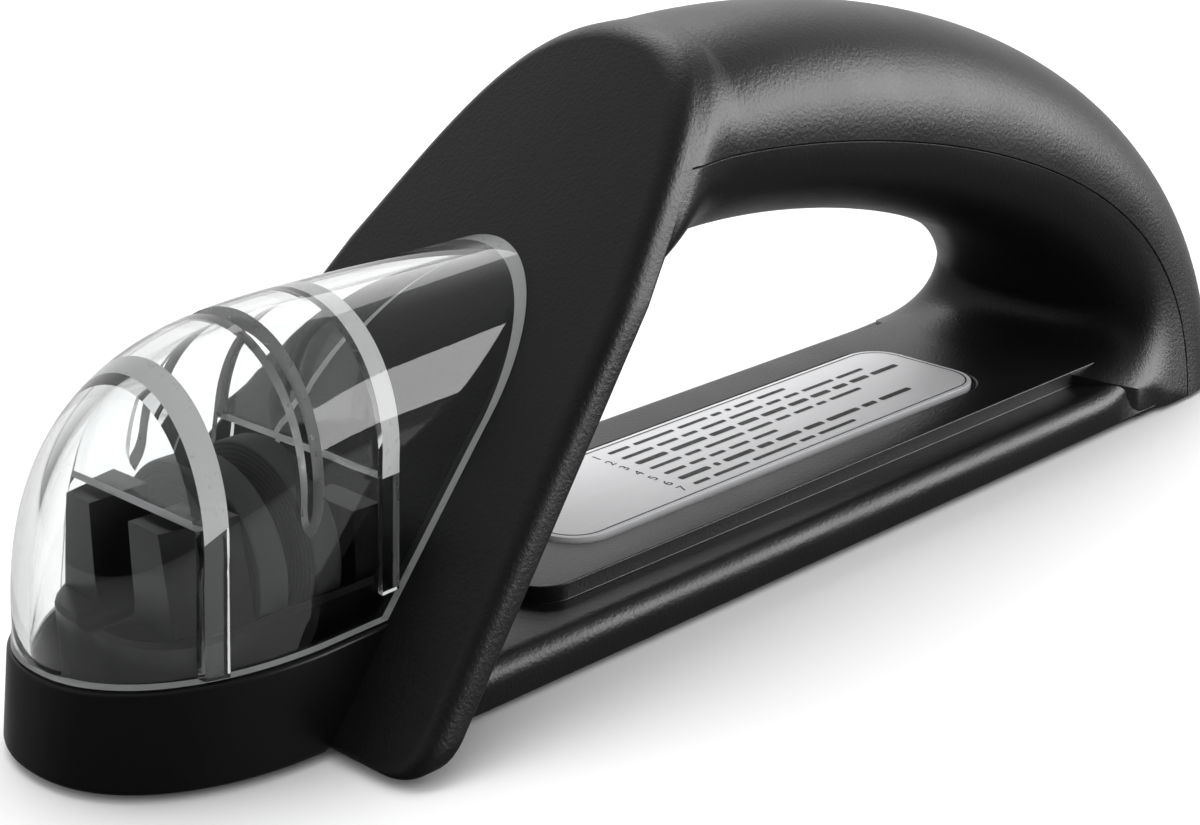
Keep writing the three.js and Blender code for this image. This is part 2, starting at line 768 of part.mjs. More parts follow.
function washerBody(from, to) {
  const inside = AXLE_RADIUS + RUNNING_GAP;
  const outside = HUB_RADIUS - 0.4;
  return turned(
    [
      [from, inside],
      [to, inside],
      [to, outside],
      [from, outside],
      [from, inside],
    ],
    WHEEL_CENTRE_X,
    32,
  );
}

function axleBody() {
  const reach = WELL_HALF_LENGTH + CRADLE_WALL + 0.2;
  return turned(
    [
      [-reach, 0],
      [-reach, AXLE_RADIUS - 0.4],
      [-reach + 0.4, AXLE_RADIUS],
      [reach - 0.4, AXLE_RADIUS],
      [reach, AXLE_RADIUS - 0.4],
      [reach, 0],
    ],
    WHEEL_CENTRE_X,
    32,
  );
}

// Clear cover: arched sections along the length, falling to a rounded nose
function domeBody(thinner, baseZ) {
  const frontX = NOSE_X + COVER_INSET + thinner;
  const topZ = COVER_TOP_Z - thinner;
  const ridgeX = NOSE_X + COVER_INSET + COVER_RUN;
  const noseHalf = NOSE_HALF_WIDTH - COVER_INSET - thinner;
  const noseReach = NOSE_LENGTH - COVER_INSET - thinner;
  const springRise = (COVER_SPRING_Z - COVER_BASE_Z) / (COVER_TOP_Z - COVER_BASE_Z);
  const stations = [];
  const noseSteps = 16;
  for (let i = 0; i <= noseSteps; i++) {
    stations.push(NOSE_CENTRE_X - noseReach * Math.cos((Math.PI / 2) * (i / noseSteps)));
  }
  const ridgeSteps = 4;
  for (let i = 1; i <= ridgeSteps; i++) {
    stations.push(between(NOSE_CENTRE_X, ridgeX, i / ridgeSteps));
  }
  stations.push(between(ridgeX, trayRearX, 0.5));
  stations.push(trayRearX);
  const levels = [];
  stations.forEach((x, k) => {
    const ahead = Math.min(1, Math.max(0, (ridgeX - x) / (ridgeX - frontX)));
    const rise = Math.max(0.02, (1 - ahead * ahead) ** (1 / COVER_POWER));
    const along = Math.min(1, Math.max(0, (NOSE_CENTRE_X - x) / noseReach));
    let half = noseHalf * Math.max(0.02, (1 - along ** NOSE_EXPONENT) ** (1 / NOSE_EXPONENT));
    half -= NOSE_TAPER * Math.max(0, x - NOSE_CENTRE_X);
    const height = (topZ - COVER_BASE_Z) * (k === 0 ? 0.3 : rise);
    levels.push({ x, half, height, spring: springRise * rise * rise });
  });
  const points = [];
  const faces = [];
  const ring = COVER_ARC + 3;
  for (const level of levels) {
    points.push(level.x, -level.half, baseZ);
    for (let i = 0; i <= COVER_ARC; i++) {
      const angle = (Math.PI * i) / COVER_ARC;
      const drafted = 1 - COVER_DRAFT / NOSE_HALF_WIDTH;
      const across = -Math.cos(angle) * level.half * drafted;
      const lift = level.spring + (1 - level.spring) * Math.sin(angle);
      points.push(level.x, across, COVER_BASE_Z + level.height * lift);
    }
    points.push(level.x, level.half, baseZ);
  }
  for (let k = 0; k + 1 < levels.length; k++) {
    for (let i = 0; i < ring; i++) {
      const j = (i + 1) % ring;
      const a = k * ring + i;
      const b = k * ring + j;
      faces.push(a, b, b + ring, a, b + ring, a + ring);
    }
  }
  const last = (levels.length - 1) * ring;
  for (let i = 1; i + 1 < ring; i++) {
    faces.push(0, i + 1, i);
    faces.push(last, last + i, last + i + 1);
  }
  return closed(points, faces);
}

function coverBody() {
  const outside = domeBody(0, COVER_BASE_Z);
  const inside = domeBody(COVER_WALL, COVER_BASE_Z - 3);
  let cover = outside.subtract(inside);
  for (const x of [FRONT_WEB_X, REAR_WEB_X]) {
    const slice = [x - WEB_THICKNESS / 2, x + WEB_THICKNESS / 2, -LENGTH, LENGTH];
    const web = box(...slice, WEB_BOTTOM_Z, LENGTH);
    const legs = box(...slice, COVER_BASE_Z, LENGTH);
    const legRoom = domeBody(COVER_WALL + WEB_LEG, COVER_BASE_Z - 3);
    cover = cover.add(outside.intersect(web)).add(outside.intersect(legs).subtract(legRoom));
  }
  const slot = box(
    WHEEL_CENTRE_X - SLOT_WIDTH / 2,
    WHEEL_CENTRE_X + SLOT_WIDTH / 2,
    -LENGTH,
    LENGTH,
    SLOT_BOTTOM_Z,
    LENGTH,
  );
  cover = cover.subtract(slot).intersect(inFront(GAP));
  const rimHalf = NOSE_HALF_WIDTH - COVER_INSET - NOSE_TAPER * (LUG_X - NOSE_CENTRE_X);
  for (const side of [-1, 1]) {
    const edges = [side * (rimHalf - COVER_WALL / 2), side * (rimHalf + LUG_REACH)].sort((a, b) => a - b);
    cover = cover.add(
      box(LUG_X, LUG_X + LUG_LENGTH, edges[0], edges[1], COVER_BASE_Z, COVER_BASE_Z + LUG_HEIGHT),
    );
  }
  return cover.intersect(inFront(GAP));
}

// Body shell: deck, platform and the inner half of the handle
function deckBody() {
  const edge = FLANGE_EDGE;
  const levels = [
    [FOOT_DROP, 0],
    [FLANGE_HEIGHT - edge, 0],
    [FLANGE_HEIGHT - edge * 0.5, edge * 0.13],
    [FLANGE_HEIGHT - edge * 0.13, edge * 0.5],
    [FLANGE_HEIGHT, edge],
  ];
  const flange = stacked(
    levels.map(([z, inset], i) => ({
      z,
      outline: deckOutline(inset),
      sweep: i === 0 ? 0 : FLANGE_SWEEP,
    })),
  );
  const soft = PLATFORM_EDGE;
  const steps = [
    [FLANGE_HEIGHT - 1, 0],
    [PLATFORM_HEIGHT - soft, 0],
    [PLATFORM_HEIGHT - soft * 0.3, soft * 0.3],
    [PLATFORM_HEIGHT, soft],
  ];
  const platform = stacked(
    steps.map(([z, inset]) => ({
      z,
      outline: roundedBar(
        PLATFORM_FRONT_X + inset,
        PLATFORM_REAR_X - inset,
        PLATFORM_HALF_WIDTH - inset,
        PLATFORM_CORNER - inset,
      ),
    })),
  );
  const label = bar(
    LABEL_FRONT_X - GAP,
    LABEL_REAR_X + GAP,
    LABEL_HALF_WIDTH + GAP,
    LABEL_CORNER + GAP,
    PLATFORM_HEIGHT - LABEL_RECESS,
    PLATFORM_HEIGHT + 5,
  );
  return flange.add(platform).subtract(label);
}

// The side and rear of the deck stop where the outer half of the handle comes down.
function gripRoom() {
  const points = [];
  const faces = [];
  const wide = LENGTH;
  const steps = 16;
  const line = [];
  for (let i = 0; i <= steps; i++) {
    line.push(seamLine(0.55 + (0.45 * i) / steps));
  }
  const foot = line.at(-1);
  line.push({ x: foot.x, z: -LENGTH });
  line.push({ x: REAR_X + LENGTH, z: -LENGTH });
  line.push({ x: REAR_X + LENGTH, z: line[0].z });
  for (const side of [-wide, wide]) {
    for (const p of line) {
      points.push(p.x, side, p.z);
    }
  }
  const count = line.length;
  for (let i = 0; i < count; i++) {
    const j = (i + 1) % count;
    faces.push(i, j, j + count, i, j + count, i + count);
  }
  const flat = line.map((p) => new THREE.Vector2(p.x, p.z));
  for (const [a, b, c] of THREE.ShapeUtils.triangulateShape(flat, [])) {
    faces.push(c, b, a);
    faces.push(count + a, count + b, count + c);
  }
  return closed(points, faces);
}

function bodyShellBody() {
  const aboveGround = box(-LENGTH, LENGTH, -LENGTH, LENGTH, FOOT_DROP, LENGTH);
  const behindShield = leaningHalf(SHIELD_BACK_X + GAP * SHIELD_SLOPE, true);
  const inner = halfTube("inner", GAP / 2);
  const deck = deckBody().subtract(gripRoom());
  return screwHoles(
    deck.add(inner).intersect(aboveGround).intersect(behindShield).subtract(plateRoom()),
  );
}

function gripCoverBody() {
  const aboveGround = box(-LENGTH, LENGTH, -LENGTH, LENGTH, FOOT_DROP, LENGTH);
  const behindShield = leaningHalf(SHIELD_BACK_X + GAP * SHIELD_SLOPE, true);
  return halfTube("outer", GAP / 2).intersect(aboveGround).intersect(behindShield);
}

function labelBody() {
  const bottom = PLATFORM_HEIGHT - LABEL_RECESS + GAP;
  return bar(
    LABEL_FRONT_X,
    LABEL_REAR_X,
    LABEL_HALF_WIDTH,
    LABEL_CORNER,
    bottom,
    bottom + LABEL_THICKNESS,
  );
}

// Materials and assembly
const FINISH = {
  black_plastic: { color: 0x1b1b1c, roughness: 0.55, metalness: 0 },
  smooth_plastic: { color: 0x141415, roughness: 0.35, metalness: 0 },
  clear_plastic: { color: 0xf2f6f8, roughness: 0.05, metalness: 0, transparent: true, opacity: 0.3 },
  ceramic: { color: 0x4a4a4c, roughness: 0.7, metalness: 0 },
  steel: { color: 0xb4b6b8, roughness: 0.3, metalness: 1 },
  nylon: { color: 0xdedcd4, roughness: 0.5, metalness: 0 },
  rubber: { color: 0x101010, roughness: 0.9, metalness: 0 },
  label: { color: 0xdfe0e0, roughness: 0.4, metalness: 0 },
};

const part = new THREE.Group();

function place(name, body, finish) {
  const mesh = new THREE.Mesh(geometryOf(body), new THREE.MeshStandardMaterial(FINISH[finish]));
  mesh.name = name;
  part.add(mesh);
}

place("shield", shieldBody(), "black_plastic");
place("grip_cover", gripCoverBody(), "black_plastic");
place("body_shell", bodyShellBody(), "black_plastic");
place("label_plate", labelBody(), "label");
place("base_plate", basePlateBody(), "black_plastic");
place("front_tray", trayBody(), "smooth_plastic");
place("wheel_cradle", cradleBody(), "smooth_plastic");
place("axle", axleBody(), "steel");
place("front_wheel", wheelBody(-1), "ceramic");
place("rear_wheel", wheelBody(1), "ceramic");
place("front_bush", bushBody(-1), "nylon");
place("rear_bush", bushBody(1), "nylon");
const washerFrom = WHEEL_OUTER + RUNNING_GAP;
const washerTo = washerFrom + WASHER_THICKNESS;
place("front_washer", washerBody(-washerTo, -washerFrom), "nylon");
place("middle_washer", washerBody(-HUB_HALF_GAP + RUNNING_GAP, HUB_HALF_GAP - RUNNING_GAP), "nylon");
place("rear_washer", washerBody(washerFrom, washerTo), "nylon");
place("clear_cover", coverBody(), "clear_plastic");
for (const site of screwSites()) {
  place(site.name, screwBody(site), "steel");
}
FEET.forEach(([x, y], i) => place(`foot_${i + 1}`, footBody(x, y), "rubber"));

export default part;
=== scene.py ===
"""Hand-held knife sharpener: moulded handle and shield, water tray, ceramic wheels, clear cover."""

import math

import bmesh
import bpy
from bpy.props import FloatProperty, FloatVectorProperty, IntProperty, PointerProperty
from mathutils import Matrix, Vector


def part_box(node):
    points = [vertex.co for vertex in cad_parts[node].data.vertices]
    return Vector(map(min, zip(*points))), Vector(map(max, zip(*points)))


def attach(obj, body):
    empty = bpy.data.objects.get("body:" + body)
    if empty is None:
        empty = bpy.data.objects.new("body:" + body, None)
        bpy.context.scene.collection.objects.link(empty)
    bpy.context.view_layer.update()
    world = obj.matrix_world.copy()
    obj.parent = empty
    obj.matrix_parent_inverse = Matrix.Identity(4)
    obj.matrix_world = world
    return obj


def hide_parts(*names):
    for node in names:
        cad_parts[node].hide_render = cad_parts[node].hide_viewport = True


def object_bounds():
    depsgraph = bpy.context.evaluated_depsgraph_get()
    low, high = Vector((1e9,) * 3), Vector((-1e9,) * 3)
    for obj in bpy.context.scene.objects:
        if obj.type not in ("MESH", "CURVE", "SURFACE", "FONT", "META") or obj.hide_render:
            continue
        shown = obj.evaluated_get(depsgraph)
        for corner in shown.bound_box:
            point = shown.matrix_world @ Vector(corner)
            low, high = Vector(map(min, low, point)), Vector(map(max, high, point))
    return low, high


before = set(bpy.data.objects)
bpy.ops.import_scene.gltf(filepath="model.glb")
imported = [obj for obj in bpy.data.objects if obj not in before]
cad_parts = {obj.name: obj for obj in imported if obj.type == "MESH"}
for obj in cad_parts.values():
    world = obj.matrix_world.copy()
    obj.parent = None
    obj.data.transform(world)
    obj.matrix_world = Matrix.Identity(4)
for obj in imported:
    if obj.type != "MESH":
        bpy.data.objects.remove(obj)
CAD_BOX = [list(corner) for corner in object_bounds()]

bl_info = {
    "name": "Knife Sharpener",
    "version": (1, 0, 0),
    "blender": (4, 5, 0),
    "location": "3D View > Sidebar > Sharpener",
    "description": "Builds a hand-held knife sharpener on its packed frame",
    "category": "Object",
}

MM = 0.001

# Places and sizes taken from the frame
NOSE_X = CAD_BOX[0][0]
REAR_X = CAD_BOX[1][0]
SHIELD_TOP_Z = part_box("shield")[1].z
UNDERSIDE_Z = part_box("body_shell")[0].z
TRAY_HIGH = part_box("front_tray")[1]
COVER_LOW, COVER_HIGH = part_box("clear_cover")
CRADLE_TOP_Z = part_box("wheel_cradle")[1].z
LABEL_LOW, LABEL_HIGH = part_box("label_plate")
AXLE_LOW, AXLE_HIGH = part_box("axle")
FRONT_WHEEL_LOW, FRONT_WHEEL_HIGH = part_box("front_wheel")
REAR_WHEEL_LOW, REAR_WHEEL_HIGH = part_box("rear_wheel")
FOOT_LOW, FOOT_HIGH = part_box("foot_1")
SCREW_NAMES = [f"deck_screw_{i}" for i in range(1, 5)] + ["tray_screw_left", "tray_screw_right"]
FOOT_NAMES = [f"foot_{i}" for i in range(1, 7)]

# Shield: a flat plate that leans back by its run for each millimetre of height
SHIELD_RUN = 0.974
SHIELD_SLOPE = math.hypot(1, SHIELD_RUN)
SHIELD_FOOT_X = NOSE_X + 25.6 * MM
SHIELD_THICKNESS = 4.3 * MM
SHIELD_FOOT_HALF = 35.1 * MM
SHIELD_SPRING_Z = 45 * MM
SHIELD_SPRING_HALF = 25.4 * MM
SHIELD_CORNER = 6 * MM
SHIELD_BACK_EDGE = 0.6 * MM
SHIELD_SHOULDER = 0.806
SHIELD_ARCH_PULLS = (0.8, 0.7)
SHIELD_CORNER_STEPS = 10
SHIELD_SIDE_STEPS = 12
SHIELD_ARCH_STEPS = 36
POCKET_SIDE_ROOM = 1.05 * MM
POCKET_RIM_ROOM = 0.8 * MM

# Handle lines in side view; pulls and drops shape the curves between their ends
GRIP_TOP_Z = SHIELD_TOP_Z
GRIP_UNDER_Z = GRIP_TOP_Z - 26.6 * MM
GRIP_DIP = 1.4 * MM
GRIP_CROWN = 3.2 * MM
OUTER_PULL = 0.4
OUTER_DROP = 0.713
GRIP_HALF = 18 * MM
LEG_HALF = 21.8 * MM
FOOT_FLARE = 4.6 * MM
FOOT_FLARE_ONSET = 6
SHELL_WALL = 3 * MM
GRIP_EXPONENT = 2.05
TOE_EXPONENT = 4
TOE_ONSET = 4
FLARE_EXPONENT = 4.2
FLUSH_EASE = 0.8
START_RINGS = 16
GRIP_RINGS = 96
INNER_START = 5 * MM
INNER_BEND = 0.8
INNER_PULLS = (0.32, 0.87)
INNER_DROP = 0.72
INNER_REAR_X = REAR_X - 35.4 * MM
INNER_REAR_Z = 14.6 * MM
LEG_TOE = 13 * MM
LEG_BULGE = 2 * MM
SEAM_FOOT_X = REAR_X - 48 * MM
SEAM_UNDER_Z = GRIP_TOP_Z - 29.4 * MM
SEAM_PULLS = (0.358, 1.348)
SEAM_DROPS = (0.87, 0.51)

# Deck
DECK_HALF = 25.8 * MM
DECK_END_X = REAR_X - 31.4 * MM
DECK_END_CORNER = 1.5 * MM
DECK_LEAST_CORNER = 0.2 * MM
DECK_LAP = 5 * MM
DECK_SIDE_STEPS = 72
FLANGE_Z = 6.4 * MM
FLANGE_FOOT = 0.6 * MM
FLANGE_FOOT_STEPS = ((0, 1), (0.3, 0.3), (1, 0))
FLANGE_TOP_INSETS = (4 * MM, 7.5 * MM, 12 * MM)
FLANGE_CORE_INSET = 12.2 * MM
FLANGE_SWEEP_X = REAR_X - 52 * MM
FLANGE_SWEEP_RUN = 21 * MM
FLANGE_SWEEP = 6 * MM
FLANGE_SWEEP_POWER = 3.1
FLANGE_LEAN = 1
PLATFORM_Z = 8.7 * MM
PLATFORM_HALF = 18.6 * MM
PLATFORM_FRONT_X = SHIELD_FOOT_X + 37.4 * MM
PLATFORM_REAR_X = REAR_X - 22 * MM
PLATFORM_CORNER = 5 * MM
RECESS_EDGE = 0.35 * MM
RECESS_DEPTH = 0.8 * MM

# Label and its print
LABEL_CORNER = 6 * MM
LABEL_EDGE = 0.12 * MM
LABEL_SINK = 0.2 * MM
BORDER_INSETS = (0.7 * MM, 0.95 * MM)
PRINT_START = 27 * MM
PRINT_END = 3 * MM
ROW_PITCH = 2.75 * MM
BAR_UNIT = 1.05 * MM
BAR_SPACE = 1.1 * MM
BAR_CORNER = 0.3
NUMERAL_SIZE = 2.4 * MM
NUMERAL_SPACE = 2.4 * MM

# Clearances and tolerances
FIT = 0.3 * MM
TOUCH = 0.03 * MM
NEAR = 0.1 * MM
PIN_POINT = 0.01 * MM
WELD = 1e-6
CUT_TOLERANCE = 1e-7
SETTLING_ROUNDS = 6

# Tray and cover
NOSE_LENGTH = 28.2 * MM
NOSE_HALF = 20.2 * MM
NOSE_EXPONENT = 2.2
NOSE_TAPER = 0.05
NOSE_STEPS = 96
NOSE_CENTRE_X = NOSE_X + NOSE_LENGTH
TRAY_TOP_Z = TRAY_HIGH.z
TRAY_DRAFT = 1.2 * MM
TRAY_SHOULDER = 0.5 * MM
TRAY_WALL = 4.3 * MM
TRAY_FLOOR_Z = 5.5 * MM
TRAY_FOOT_EDGE = 1.2 * MM
TRAY_INNER_EDGE = 0.4 * MM
TRAY_CUT_ROOM = 8 * MM
COVER_INSET = TRAY_DRAFT + TRAY_SHOULDER
COVER_BASE_Z = COVER_LOW.z
COVER_TOP_Z = COVER_HIGH.z
COVER_SPRING_Z = 32 * MM
COVER_DRAFT = 1.6 * MM
COVER_RUN = 42.4 * MM
COVER_POWER = 2.8
COVER_CROWN = 2.6
COVER_LEAN = 0.11
COVER_SHIELD_GAP = 0.3 * FIT
SLOT_X = NOSE_X + 27.25 * MM
SLOT_BOTTOM_Z = 27.5 * MM
SLOT_END = 3 * MM
FRONT_WEB_X = NOSE_X + 14.9 * MM
REAR_WEB_X = NOSE_X + 39 * MM
WEB_BOTTOM_Z = 30 * MM
WEB_RIB = 1.6 * MM
WEB_SINK = 0.3 * MM

# Wheels and cradle
WHEEL_RADIUS = (FRONT_WHEEL_HIGH.y - FRONT_WHEEL_LOW.y) / 2
WHEEL_CENTRE = Vector((
    (FRONT_WHEEL_LOW.x + REAR_WHEEL_HIGH.x) / 2,
    0,
    (FRONT_WHEEL_LOW.z + FRONT_WHEEL_HIGH.z) / 2,
))
WHEEL_OUTER = REAR_WHEEL_HIGH.x - WHEEL_CENTRE.x
HUB_GAP = REAR_WHEEL_LOW.x - WHEEL_CENTRE.x
AXLE_RADIUS = (AXLE_HIGH.y - AXLE_LOW.y) / 2
HUB_RADIUS = 6.8 * MM
SLEEVE_WALL = 1.5 * MM
BORE_CHAMFER = 0.3 * MM
WHEEL_RIM_EDGE = 0.9 * MM
WHEEL_LIP_EDGE = 0.35 * MM
AXLE_CHAMFER = 0.45 * MM
AXLE_CENTRE_RADIUS = 0.9 * MM
AXLE_CENTRE_DEPTH = 0.8 * MM
CRADLE_FACE_X = NOSE_X + 18.6 * MM
CRADLE_BLOCK_X = NOSE_X + 13 * MM
CRADLE_BLOCK_TOP_Z = 29.3 * MM
CRADLE_NOTCH_HALF = 6 * MM
CRADLE_TAPER = 0.85
VEE = 2 * MM
RING_ROOM = 0.25 * MM
RING_EDGE = 0.15 * MM
WHEEL_SIDES = 128
AXLE_SIDES = 64

# Underside
SCREW_HEAD = 1.3 * MM
SCREW_RECESS = 3.2 * MM
RECESS_BAR = 0.8 * MM
RECESS_CUT = 1.2 * MM
FOOT_EDGE = 0.4 * MM

# Camera that matches the reference view, in metres
CAMERA_PLACE = Vector((-0.2400, -0.2122, 0.1319))
CAMERA_AIM = Vector((0.674, 0.654, -0.344))
CAMERA_LENS = 71.1

# Stage, in metres; each glow of the room has its direction, the cosine where it starts and its strength
FLOOR_RADIUS = 3.0
LIGHT_AIM = Vector((0, 0, 0.03))
ROOM_GLOWS = (
    ((0.0, 0.7, 0.7), -0.2, 0.3),
    ((0.72, 0.68, 0.1), 0.5, 0.75),
    ((0.75, -0.6, -0.28), 0.2, 0.1),
)


def linear(code):
    """Linear colour of an sRGB hex code."""
    parts = [int(code[i:i + 2], 16) / 255 for i in (1, 3, 5)]
    return [p / 12.92 if p <= 0.04045 else ((p + 0.055) / 1.055) ** 2.4 for p in parts]


def length_setting(name, description, millimetres):
    return FloatProperty(name=name, description=description, default=millimetres * MM, unit="LENGTH")


def colour_setting(name, description, code):
    return FloatVectorProperty(
        name=name, description=description, default=linear(code), subtype="COLOR", size=3
    )


class SharpenerSizes(bpy.types.PropertyGroup):
    """Sizes that a user would change."""

    shield_edge: length_setting("Shield edge", "Rounding of the shield's front edge", 2.3)
    seam_gap: length_setting("Handle seam", "Width of the line between the two halves of the handle", 0.12)
    seam_edge: length_setting("Seam edge", "Rounding of the shell edges beside the seam", 0.12)
    flange_edge: length_setting("Flange bead", "Rounding along the top of the base flange", 2.8)
    platform_edge: length_setting("Platform lip", "Rounding along the top of the raised platform", 0.2)
    platform_fillet: length_setting("Platform fillet", "Hollow fillet between platform and flange", 0.2)
    label_groove: length_setting("Label groove", "Groove between the label and the platform", 0.8)
    cover_wall: length_setting("Cover wall", "Wall of the clear cover", 2)
    slot_width: length_setting("Blade slot", "Width of the slot that guides the blade", 2.5)
    web_thickness: length_setting("Cover web", "Thickness of the cross webs in the cover", 2.7)
    grain: length_setting("Moulded grain", "Width of the spark-eroded grain on the handle", 0.55)
    turning_pitch: length_setting("Turning rings", "Pitch of the rings on the ceramic wheels", 0.55)
    arc_points: IntProperty(
        name="Arc points",
        description="Points across half of the handle section",
        default=48,
        min=12,
        max=96,
    )


class SharpenerColours(bpy.types.PropertyGroup):
    """Colours that a user would change."""

    handle: colour_setting("Handle", "Moulded black plastic of handle, shield and base", "#0e0e0f")
    tray: colour_setting("Tray", "Smooth black plastic of tray and cradle", "#0c0c0d")
    cover: colour_setting("Cover", "Clear plastic of the cover", "#fdfefe")
    wheel: colour_setting("Wheels", "Fired ceramic of the wheels", "#3c3c3e")
    label: colour_setting("Label", "Coated aluminium of the label plate", "#e6e6e8")
    print: colour_setting("Print", "Ink of the bars and numerals on the label", "#2a2a2b")


# Meshes
def loft(bm, rings, close=True):
    """Quads between rings of equal length; returns the rings of vertices."""
    made = [[bm.verts.new(point) for point in ring] for ring in rings]
    count = len(rings[0])
    span = count if close else count - 1
    for near, far in zip(made, made[1:]):
        for i in range(span):
            j = (i + 1) % count
            bm.faces.new((near[i], near[j], far[j], far[i]))
    return made


def capped_loft(bm, rings):
    """A closed body from rings, with a flat cap on each end."""
    made = loft(bm, rings)
    bm.faces.new(made[0])
    bm.faces.new(made[-1])
    return made


def cut_by_shield(bm, offset, keep_front):
    """Cuts a body along a plane parallel to the shield and closes the cut."""
    bmesh.ops.bisect_plane(
        bm,
        geom=bm.verts[:] + bm.edges[:] + bm.faces[:],
        plane_co=Vector((SHIELD_FOOT_X + offset * SHIELD_SLOPE, 0, 0)),
        plane_no=Vector((1, 0, -SHIELD_RUN)).normalized(),
        clear_outer=keep_front,
        clear_inner=not keep_front,
        dist=CUT_TOLERANCE,
    )
    open_edges = [edge for edge in bm.edges if edge.is_boundary]
    bmesh.ops.holes_fill(bm, edges=open_edges, sides=0)


def piece(name, bm, material, body, nodes, sharp=30):
    """Turns a bmesh into a finished piece that stands for CAD nodes and rides on a body."""
    bmesh.ops.remove_doubles(bm, verts=bm.verts, dist=WELD)
    bmesh.ops.recalc_face_normals(bm, faces=bm.faces)
    mesh = bpy.data.meshes.new(name)
    bm.to_mesh(mesh)
    bm.free()
    mesh.shade_smooth()
    mesh.set_sharp_from_angle(angle=math.radians(sharp))
    mesh.materials.append(material)
    made = bpy.data.objects.new(name, mesh)
    bpy.context.scene.collection.objects.link(made)
    return settle(made, body, nodes)


def settle(made, body, nodes):
    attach(made, body)
    if nodes:
        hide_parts(*nodes)
    return made


def plain_mesh(made):
    """Replaces an object's mesh by the result of its modifiers."""
    bpy.context.view_layer.update()
    graph = bpy.context.evaluated_depsgraph_get()
    mesh = bpy.data.meshes.new_from_object(made.evaluated_get(graph))
    made.modifiers.clear()
    made.data = mesh
    return made


def softened_node(node, name, material, edge, segments, angle, reshape=None):
    """A piece made from a CAD node's own mesh, reshaped if need be, with softened edges."""
    bm = bmesh.new()
    bm.from_mesh(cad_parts[node].data)
    bmesh.ops.remove_doubles(bm, verts=bm.verts, dist=WELD)
    bmesh.ops.dissolve_limit(bm, angle_limit=math.radians(2), verts=bm.verts, edges=bm.edges)
    if reshape:
        reshape(bm)
    made = piece(name, bm, material, "base", [node])
    bevel = made.modifiers.new("soft_edges", "BEVEL")
    bevel.width = edge
    bevel.segments = segments
    bevel.limit_method = "ANGLE"
    bevel.angle_limit = math.radians(angle)
    return plain_mesh(made)


def set_inputs(tree, node, values):
    """Sets a node's inputs, or links them where the value is a socket."""
    for key, value in values.items():
        if isinstance(value, bpy.types.NodeSocket):
            tree.links.new(value, node.inputs[key])
        else:
            node.inputs[key].default_value = value


def add_node(tree, kind, values=None, **settings):
    """Adds a node with its settings and its inputs."""
    node = tree.nodes.new(kind)
    for key, value in settings.items():
        setattr(node, key, value)
    set_inputs(tree, node, values or {})
    return node


def cubic(a, b, c, d, t):
    s = 1 - t
    return a * s ** 3 + 3 * b * s * s * t + 3 * c * s * t * t + d * t ** 3


def mix(a, b, share):
    return a + (b - a) * share


def rounded_bar(x0, x1, half, corner, steps=10):
    """Plan outline of a bar with rounded corners, as (x, y) pairs."""
    centres = [
        (x1 - corner, half - corner, 0),
        (x0 + corner, half - corner, 1),
        (x0 + corner, -half + corner, 2),
        (x1 - corner, -half + corner, 3),
    ]
    points = []
    for cx, cy, quarter in centres:
        for i in range(steps + 1):
            angle = math.pi / 2 * (quarter + i / steps)
            points.append((cx + corner * math.cos(angle), cy + corner * math.sin(angle)))
    return points


def at_height(outline, z):
    return [(x, y, z) for x, y in outline]


def quarter_turn(steps):
    return [math.pi / 2 * i / steps for i in range(steps + 1)]


def round_edge(radius, steps):
    """Pairs (drop, inset) of a rounded edge, from its wall to its top."""
    return [(radius * (1 - math.sin(a)), radius * (1 - math.cos(a))) for a in quarter_turn(steps)]


def turned(bm, profile, sides):
    """A body of revolution about the axle line; the profile is closed and lists (along, radius)."""
    rings = []
    for i in range(sides):
        angle = 2 * math.pi * i / sides
        rings.append([
            (WHEEL_CENTRE.x + along, radius * math.cos(angle), WHEEL_CENTRE.z + radius * math.sin(angle))
            for along, radius in profile
        ])
    rings.append(rings[0])
    loft(bm, rings)


# Materials
def new_material(name):
    material = bpy.data.materials.new(name)
    material.use_nodes = True
    tree = material.node_tree
    shader = next(n for n in tree.nodes if n.type == "BSDF_PRINCIPLED")
    return material, tree, shader


def noise_scale(size):
    """Scale of a noise whose features are about that size."""
    return 1 / size


def shaded_paint(tree, shader, colour, value, low, high, start=0.3, end=0.7):
    """Base colour that is darker or lighter with a pattern's value."""
    tones = {"Value": value, "From Min": start, "From Max": end, "To Min": low, "To Max": high}
    tone = add_node(tree, "ShaderNodeMapRange", tones).outputs["Result"]
    layers = {"Factor": 1.0, "A": (*colour, 1), "B": tone}
    paint = add_node(tree, "ShaderNodeMix", layers, data_type="RGBA", blend_type="MULTIPLY")
    set_inputs(tree, shader, {"Base Color": paint.outputs["Result"]})


def varied_gloss(tree, shader, value, low, high, start=0.3, end=0.7):
    """Roughness that goes from one value to another with a pattern's value."""
    steps = {"Value": value, "From Min": start, "From Max": end, "To Min": low, "To Max": high}
    gloss = add_node(tree, "ShaderNodeMapRange", steps)
    set_inputs(tree, shader, {"Roughness": gloss.outputs["Result"]})


def cloudy_gloss(tree, shader, size, low, high, detail=2.0):
    """Roughness that wanders between two values in clouds of about that size."""
    place = add_node(tree, "ShaderNodeTexCoord").outputs["Object"]
    noise = {"Vector": place, "Scale": noise_scale(size), "Detail": detail}
    cloud = add_node(tree, "ShaderNodeTexNoise", noise)
    varied_gloss(tree, shader, cloud.outputs["Fac"], low, high)


